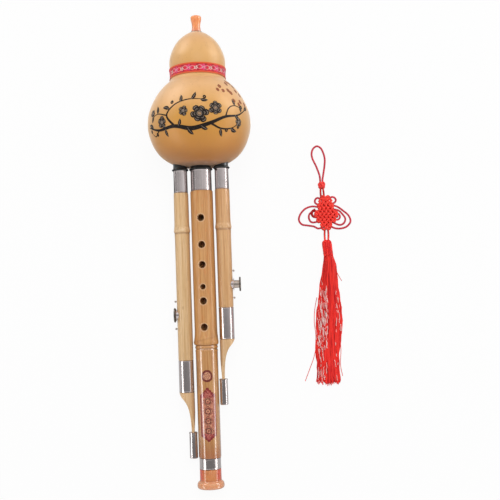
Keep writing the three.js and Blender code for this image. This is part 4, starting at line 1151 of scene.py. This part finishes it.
ROUTES = {
    "hanging_loop": [
        (109.5, 62.5, 3.4), (109.6, 66.5, 2.6), (109.4, 71, 1.4), (106.6, 80.5, 1), (103.5, 88.2, 1),
        (103, 93.4, 1), (105, 98.2, 1), (108.3, 100.1, 1), (111.7, 98.2, 1), (114, 93.2, 1),
        (115.1, 87.5, 1), (114.5, 80.5, 1), (112.7, 71, 1.4), (111.8, 66.5, 2.6), (111.8, 62.5, 3.4),
    ],
    "neck_strand_left": [(109.7, 60, 3.6), (109.3, 54, 3.1), (109.6, 48.5, 3)],
    "neck_strand_right": [(111.6, 60, 3.6), (112.2, 54, 3.1), (112.4, 49, 3)],
    "ear_left": [
        (109, 47.8, 3), (106.2, 49.4, 2.2), (104.1, 48, 1.4), (103.8, 45.2, 1.4), (106.6, 42.6, 2.4),
    ],
    "ear_right": [
        (117, 47.8, 3), (119.6, 49.8, 2.2), (122.3, 49.2, 1.4), (123.4, 46.6, 1.4), (121.6, 44.2, 1.8),
        (118.4, 43.4, 2.6),
    ],
    "outer_loop_left": [
        (107, 40.4, 2.6), (100.8, 41.7, 1), (94.6, 39.8, 1), (89.6, 34.6, 1), (88, 29, 1), (90.6, 24.9, 1),
        (96.2, 23.6, 1), (101.6, 22.5, 1), (105.6, 20.4, 1.2), (110.4, 21.4, 2.6),
    ],
    "inner_loop_left": [
        (106, 36.9, 2.6), (100.6, 36.6, 1), (97.7, 33.6, 1), (97.6, 29.6, 1), (99.8, 26.6, 1),
        (106, 26.6, 2.6),
    ],
    "outer_loop_right": [
        (119.4, 42, 2.6), (124.4, 40.6, 1.2), (129.8, 36.5, 1), (134.6, 31.6, 1), (136, 26.2, 1),
        (132.4, 21.5, 1), (126.6, 19.7, 1), (121, 20.2, 1.2), (115.6, 22.8, 2.6),
    ],
    "inner_loop_right": [
        (120.8, 38, 2.6), (125.4, 36.9, 1.2), (128.7, 33.5, 1), (131.3, 28.8, 1), (129.8, 24.8, 1),
        (126, 23.1, 1), (119, 25.6, 2.6),
    ],
    "small_loop_right": [
        (120.6, 33.2, 3), (125, 33.5, 2.2), (126.4, 30.9, 1.2), (124.8, 28.3, 1.4), (119.8, 28.2, 3),
    ],
    "lower_strand_left": [(111.9, 21, 3), (111, 14.6, 3.4), (111.1, 5, 4.4)],
    "lower_strand_right": [(114.1, 21, 3), (114.6, 14.6, 3.4), (113.6, 5, 4.4)],
}
DECLARED = {
    "hanging_loop": "woven_button_knot",
    "outer_loop_left": "woven_flat_knot",
    "outer_loop_right": "woven_flat_knot",
    "inner_loop_right": "woven_flat_knot",
}


def weave(height):
    """One layer of the flat knot: two cords, each winding to and fro, passing over and under each other."""
    left, top, bottom, right = map(Vector, ((102.2, 31.6), (113.3, 50.6), (112.6, 18.0), (125, 31.2)))
    count, wave, bow = 6, 1.3, 1.15
    lines = []
    for family, (a, b, c, d) in enumerate(((left, bottom, top, right), (left, top, bottom, right))):
        points = []
        for i in range(count):
            lane = (i + 0.5) / count
            start, finish = a.lerp(b, lane), c.lerp(d, lane)
            row = []
            for k in range(count * 4 + 1):
                share = k / (count * 4)
                phase = math.pi * (share * count - 0.5 + i + family)
                place = start.lerp(finish, 0.02 + share * 0.96)
                row.append(Vector((*place, height + wave * math.cos(phase))))
            row = row if i % 2 == family else row[::-1]
            if points:
                last, outward = points[-1], (points[-1] - points[-3]).normalized()
                for share in (0.25, 0.5, 0.75):
                    bend = last.lerp(row[0], (1 - math.cos(math.pi * share)) / 2)
                    bend += outward * math.sin(math.pi * share) * bow
                    points.append(Vector((bend.x, bend.y, height)))
            points += row
        lines.append(points)
    return lines


def make_flat_knot():
    """The flat woven knot, as two layers of cord, the turns round its edge, and a flat core under them that
    its finish darkens as painted shade in the gaps.
    """
    lines = weave(2.4) + weave(4.0)
    for points in (
        [(107.2, 44.6, 4.2), (109.6, 47.8, 5.0), (113.4, 46.4, 5.4), (116.8, 48.0, 4.8), (119.4, 45.0, 4.0)],
        [(108.6, 48.6, 2.6), (111.4, 50.6, 3.8), (113.6, 48.8, 5.0), (116.0, 50.4, 3.8), (118.4, 48.2, 2.6)],
        [(105.8, 41.2, 3.4), (109.0, 44.2, 4.8), (113.2, 43.0, 5.2), (117.2, 44.4, 4.8), (120.6, 41.6, 3.4)],
        [(108.4, 20.8, 2.8), (110.8, 18.6, 3.8), (112.8, 20.4, 4.8), (115.2, 18.8, 3.8), (117.2, 21.4, 2.8)],
        [(103.8, 38.4, 2.6), (100.9, 36.8, 2.0), (100.2, 34.2, 1.8), (101.6, 31.8, 2.0), (104.6, 30.8, 2.6)],
    ):
        lines.append(through(points, 6))
    # A dark core: the finish's painted shade shows it dark between the cords
    core = slab([(104.8, 31.6), (112.7, 20.6), (122.4, 31.4), (118.6, 42), (113.2, 47.6), (108, 42)], 2.0)
    shape = together([cord_mesh(lines, 1.14), moved(core, 0, 0, 2.4)])
    tied(shape, "woven_flat_knot", "knot_cord", ["flat_knot"])


def make_button_knot():
    """The round button knot, as one cord that winds over and under itself on a ball."""
    centre = Vector(BUTTON_KNOT)
    leads, bights, steps = 3, 4, 220
    swing, radius, wave, stretch = 0.92, 2.75, 0.42, 1.12
    loop = []
    for i in range(steps + 1):
        angle = math.tau * leads * i / steps
        rise = swing * math.sin(angle * bights / leads)
        reach = radius + wave * math.sin(2 * angle * bights / leads)
        level = math.cos(rise)
        way = Vector((math.cos(angle) * level, math.sin(rise) * stretch, math.sin(angle) * level))
        loop.append(centre + way * reach)
    core = bmesh.new()
    bmesh.ops.create_icosphere(core, subdivisions=3, radius=2.35)
    shape = together([cord_mesh([loop], 0.72), moved(core, *centre)])
    tied(shape, "woven_button_knot", "button_cord", ["button_knot"])


def make_cords():
    """The tassel's loops, ears and strands, each laid along its route."""
    for name, route in ROUTES.items():
        line = through(route, 8)
        finish = "knot_cord" if "strand" in name else "cord"
        shape = cord_mesh([line], CORD_RADIUS, 12)
        cord = tied(shape, name + "_cord", finish, [name])
        if name in DECLARED:
            path = [point * MM for point in line]
            length_of(path)


def make_head():
    """Threads folded over the top of the head, and the binding that holds them."""
    count, rounds, pitch, bound = 30, 5, 0.5, 4.28
    thread, binder, core_radius = 0.42, 0.27, 3.9
    fold = ((1.2, -0.2), (2.6, 0.25), (3.75, -0.9), (4.1, -3), (4.05, -8), (3.95, -HEAD_LENGTH - 0.5))

    def at(turn, radius, station):
        return math.sin(turn) * radius, station, HEAD_RADIUS + math.cos(turn) * radius

    lines = [through([at(math.tau * i / count, radius, drop) for radius, drop in fold], 4)
             for i in range(count)]
    binding = [at(math.tau * i / 40, bound, -HEAD_LENGTH + 1.2 + i / 40 * pitch)
               for i in range(rounds * 40 + 1)]
    core = bmesh.new()
    bmesh.ops.create_cone(core, cap_ends=True, segments=32, radius1=core_radius, radius2=core_radius,
                          depth=HEAD_LENGTH)
    moved(turned(core, 90, "X"), 0, -HEAD_LENGTH / 2 - 0.4, HEAD_RADIUS)
    shape = together([cord_mesh(lines, thread, 6), cord_mesh([binding], binder, 6), core])
    shape.transform(Matrix.Translation((*HEAD_TOP, 0)) @ Matrix.Rotation(math.radians(HEAD_TURN), 4, "Z"))
    tied(shape, "bound_head", "thread", ["tassel_head"])


# How far down the skirt, and there its left and its right edge
SKIRT_EDGES = [
    (6.2, 109.2, 118.0), (13.7, 107.8, 120.6), (28.6, 105.2, 121.0), (47, 101.5, 122.2), (65, 99.5, 123.6),
    (92, 97.7, 119.4), (110, 98.2, 117.5), (124, 96.2, 119.0),
]


def skirt_edges(down):
    for (a, *above), (b, *below) in zip(SKIRT_EDGES, SKIRT_EDGES[1:]):
        if down <= b:
            return [high + (low - high) * max(down - a, 0) / (b - a) for high, low in zip(above, below)]
    return SKIRT_EDGES[-1][1:]


def skirt_height(down, place):
    """How high the skirt's rounded top lies, this far down and at this share of its width."""
    thick = SKIRT_THICK - SKIRT_LOSS * min(down / SKIRT_LENGTH * 1.4, 1)
    return thick * math.sqrt(max(1 - (2 * place - 1) ** 2, 0.12))


def within(value, low=0, high=1):
    return min(max(value, low), high)


def locks_of_thread(chance):
    """Silk threads in locks, close at the right and loose at the left, with uneven ends."""
    locks, lines, steps = [], [], 26
    for count, first, reach, low, spread, swing in (
        (13, 0.02, 0.36, 0.45, 0.5, 1.0), (15, 0.38, 0.62, 0.55, 0.45, 0.45), (16, 0.36, 0.62, 0, 0.30, 0.40),
    ):
        locks += [(first + reach * i / (count - 1), low + spread * chance.random(), swing)
                  for i in range(count)]
    for centre, layer, swing in locks:
        phase, pitch = chance.random() * math.tau, 24 + 22 * chance.random()
        second, lock_end = chance.random() * math.tau, 120.6 + chance.gauss(0, 1.0)
        for _ in range(7 if swing > 0.9 else 11):
            place = within(centre + chance.gauss(0, 0.016))
            height, own = within(layer + chance.gauss(0, 0.08)), chance.random() * math.tau
            end = lock_end + chance.gauss(0, 1.1) - (5 * chance.random() if chance.random() < 0.15 else 0)
            drift, loose = chance.gauss(0, 0.35), 0.10 + 0.30 * chance.random()
            line = []
            for k in range(steps + 1):
                down = SKIRT_TOP + (end - SKIRT_TOP) * k / steps
                share, turn = down / SKIRT_LENGTH, down / pitch * math.tau
                left, right = skirt_edges(down)
                wave = math.sin(turn + phase) + 0.5 * math.sin(turn * 2.3 + second)
                stir = loose * math.sin(turn * 1.7 + own) + drift * share
                across = left + 0.4 + (right - left - 0.8) * place
                x = across + (swing * 0.8 * wave + stir) * min(share * 2.2, 1)
                z = 0.34 + height * skirt_height(down, place)
                line.append((within(x, left - 0.4, right + 0.4), -down, z))
            lines.append(line)
    return lines


def glint_threads(chance):
    """Short near-white fibres on the skirt, painted highlights for the silk's glints, most of them at its
    left and half way down.
    """
    lines = []
    for _ in range(150):
        if chance.random() < 0.84:
            down = 25 + 36 * (chance.random() + chance.random())
        else:
            down = 84 + 32 * chance.random()
        place = 0.03 + 0.40 * chance.random() if chance.random() < 0.88 else 0.72 + 0.24 * chance.random()
        left, right = skirt_edges(down)
        x, reach = left + (right - left) * place, 2.2 + 5.2 * chance.random() ** 2
        bend, slant = chance.gauss(0, 0.28), chance.gauss(0, 0.06)
        z = 0.7 + skirt_height(down, place)
        lines.append([(x + slant * reach * k + bend * math.sin(math.tau * k), -down - reach * k, z)
                      for k in (0, 0.25, 0.5, 0.75, 1)])
    return lines


def make_skirt():
    """The skirt's threads with a few strays, and on it the pale fibres that are painted highlights."""
    chance = random.Random(27)
    lines = locks_of_thread(chance)
    for points in (
        [(99.2, -84, 0.6), (95.8, -98, 0.5), (91.5, -108.5, 0.4), (86.8, -119.5, 0.35)],
        [(118.4, -16, 3.2), (121.4, -23.5, 2.2), (124.6, -29.5, 1.2)],
        [(120.0, -46, 1.2), (122.6, -57, 0.8), (123.0, -68, 0.5), (122.0, -78, 0.4)],
        [(101, -44, 1.2), (98.6, -55, 0.6), (97.6, -66, 0.4), (98.4, -78, 0.4), (97.5, -90, 0.35)],
        [(118.2, -70, 0.8), (120.6, -90, 0.5), (119.4, -106, 0.4), (120.8, -116, 0.35)],
    ):
        lines.append(through(points, 6))
    tied(cord_mesh(lines, THREAD_RADIUS, 4), "thread_skirt", "thread", ["tassel_skirt"], NO_CREASE)
    # Painted highlights: near-white fibres that stand for the silk's glints
    fibres = cord_mesh(glint_threads(chance), FIBRE_RADIUS, 4)
    tied(fibres, "glint_fibres", "frayed_silk", crease=NO_CREASE)


def dress_inner_pieces():
    """The pieces inside keep their solids and take their finishes."""
    wanted = {"reed_holder": "holder", "reed": "brass", "stop_bush": "nickel", "stop_tip": "rubber"}
    for name, node in frame["nodes"].items():
        for words, finish in wanted.items():
            if name.endswith("_" + words):
                node.data.materials.clear()
                node.data.materials.append(FINISHES[finish])


def make_stage():
    """A pale floor that stays near white in the picture and keeps a soft shadow; in what mirrors it, it shows
    a painted reflection, dark near the instrument.
    """
    shape = bmesh.new()
    bmesh.ops.create_grid(shape, x_segments=1, y_segments=1, size=3)
    floor = added("floor", mesh_of(shape, "floor"))
    paint = Finish("floor")
    mirrored = paint.ray("Glossy")
    _, up, _ = paint.parts(paint.object_mm())
    # Painted reflection: in what mirrors it the floor glows, dark near the instrument as painted shade,
    # brighter further off
    bright = 0.30 - up.near(60, 34) * 0.28 + up.fade(78, 110) * 0.5 + up.fade(-30, -90) * 0.2
    seen = paint.ray("Camera").most(mirrored * bright).most(paint.ray("Transmission"))
    # In what mirrors it, the floor's own matt tone also goes dark
    tone = 0.82 - mirrored * 0.76
    matt = paint.node("ShaderNodeBsdfDiffuse", {}, {"Color": paint.joined(tone, tone, tone)})
    white = paint.node("ShaderNodeEmission", {}, {"Color": WHITE, "Strength": 1.0})
    lit = paint.node("ShaderNodeMixShader", {}, [seen * 0.93, matt, white])
    floor.data.materials.append(paint.end(lit))


def make_world():
    """White behind the object; bright sheets left and right of a grey ceiling, for the metal to mirror."""
    sky = Finish("studio", world=True)
    x, y, z = sky.parts(sky.node("ShaderNodeTexCoord", {}, {}, out="Generated"))
    turn = sky.angle(x, z)
    high = y.fade(-0.14, 0.0)
    ceiling = 0.17 + y.fade(-0.28, 0.0) * 0.09 + high * (0.12 + turn.fade(-0.9, 0.9) * 0.22)
    middle = abs(turn).fade(1.42, 1.22)
    left_sheet = turn.fade(-0.76, -1.02) * turn.fade(-1.55, -1.28) * (0.9 - high * 0.62)
    right_sheet = turn.fade(0.86, 1.10) * (turn + high * 0.2).fade(1.56, 1.30) * 0.9
    ends = y.fade(0.35, 0.7) * 0.9 + y.fade(-0.5, -0.8) * 0.8
    tone = (0.04 + (ceiling - 0.04) * middle).most(left_sheet).most(right_sheet).most(ends)
    mirrored, light, white = [
        sky.node("ShaderNodeBackground", {}, {"Color": colour, "Strength": strength})
        for colour, strength in (
            (sky.joined(tone, tone * 0.985, tone * 0.985), 1.0), (WHITE, 0.50), (WHITE, 1.0))
    ]
    lit = sky.node("ShaderNodeMixShader", {}, [sky.ray("Glossy"), light, mirrored])
    seen = sky.ray("Camera").most(sky.ray("Transmission"))
    scene.world = sky.end(sky.node("ShaderNodeMixShader", {}, [seen, lit, white]))


def make_lamps():
    """A soft key lamp, fills that only light, and strips and sheens that only show in what mirrors them."""
    for name, place, target, size, power, mirrored in (
        ("key_lamp", (0.22, 0.42, 1.7), (0, 0, 0), (1.1, 1.1), 15.6, False),
        ("left_strip", (-0.62, -0.36, 0.36), (0, -0.36, 0), (0.68, 0.11), 1.0, True),
        ("right_strip", (0.70, -0.05, 0.20), (0, -0.05, 0.02), (1.3, 0.09), 1.6, True),
        ("left_fill", (-0.9, 0.25, 0.25), (0, 0.1, 0.05), (0.6, 0.4), 1.9, False),
        ("right_fill", (0.95, 0.25, 0.25), (0, 0.1, 0.05), (0.6, 0.4), 1.7, False),
        ("left_sheen", (-0.9, 1.2, 0.4), (0, 0.1, 0.05), (0.9, 0.6), 6.5, True),
        ("right_sheen", (1.1, 0.8, 0.35), (0, 0.1, 0.05), (0.8, 0.5), 6, True),
    ):
        data = bpy.data.lights.new(name, "AREA")
        data.shape = "RECTANGLE"
        data.size, data.size_y = size
        data.energy = power
        lamp = added(name, data)
        lamp.visible_glossy = mirrored
        lamp.visible_diffuse = not mirrored
        away = Vector(place) - Vector(target)
        lamp.matrix_world = Matrix.Translation(place) @ away.to_track_quat("Z", "Y").to_matrix().to_4x4()


make_flat_knot()
make_button_knot()
make_cords()
make_head()
make_skirt()
make_gourd()
make_ribbon()
make_mouthpiece()
make_sockets()
make_main_pipe()
make_bell()
for side_name, side_sizes in SIDES.items():
    make_side_pipe(side_name, side_sizes)
    make_tail(side_name, side_sizes)
    make_stop(side_name, side_sizes)
make_painting()
dress_inner_pieces()
make_stage()
make_world()
make_lamps()
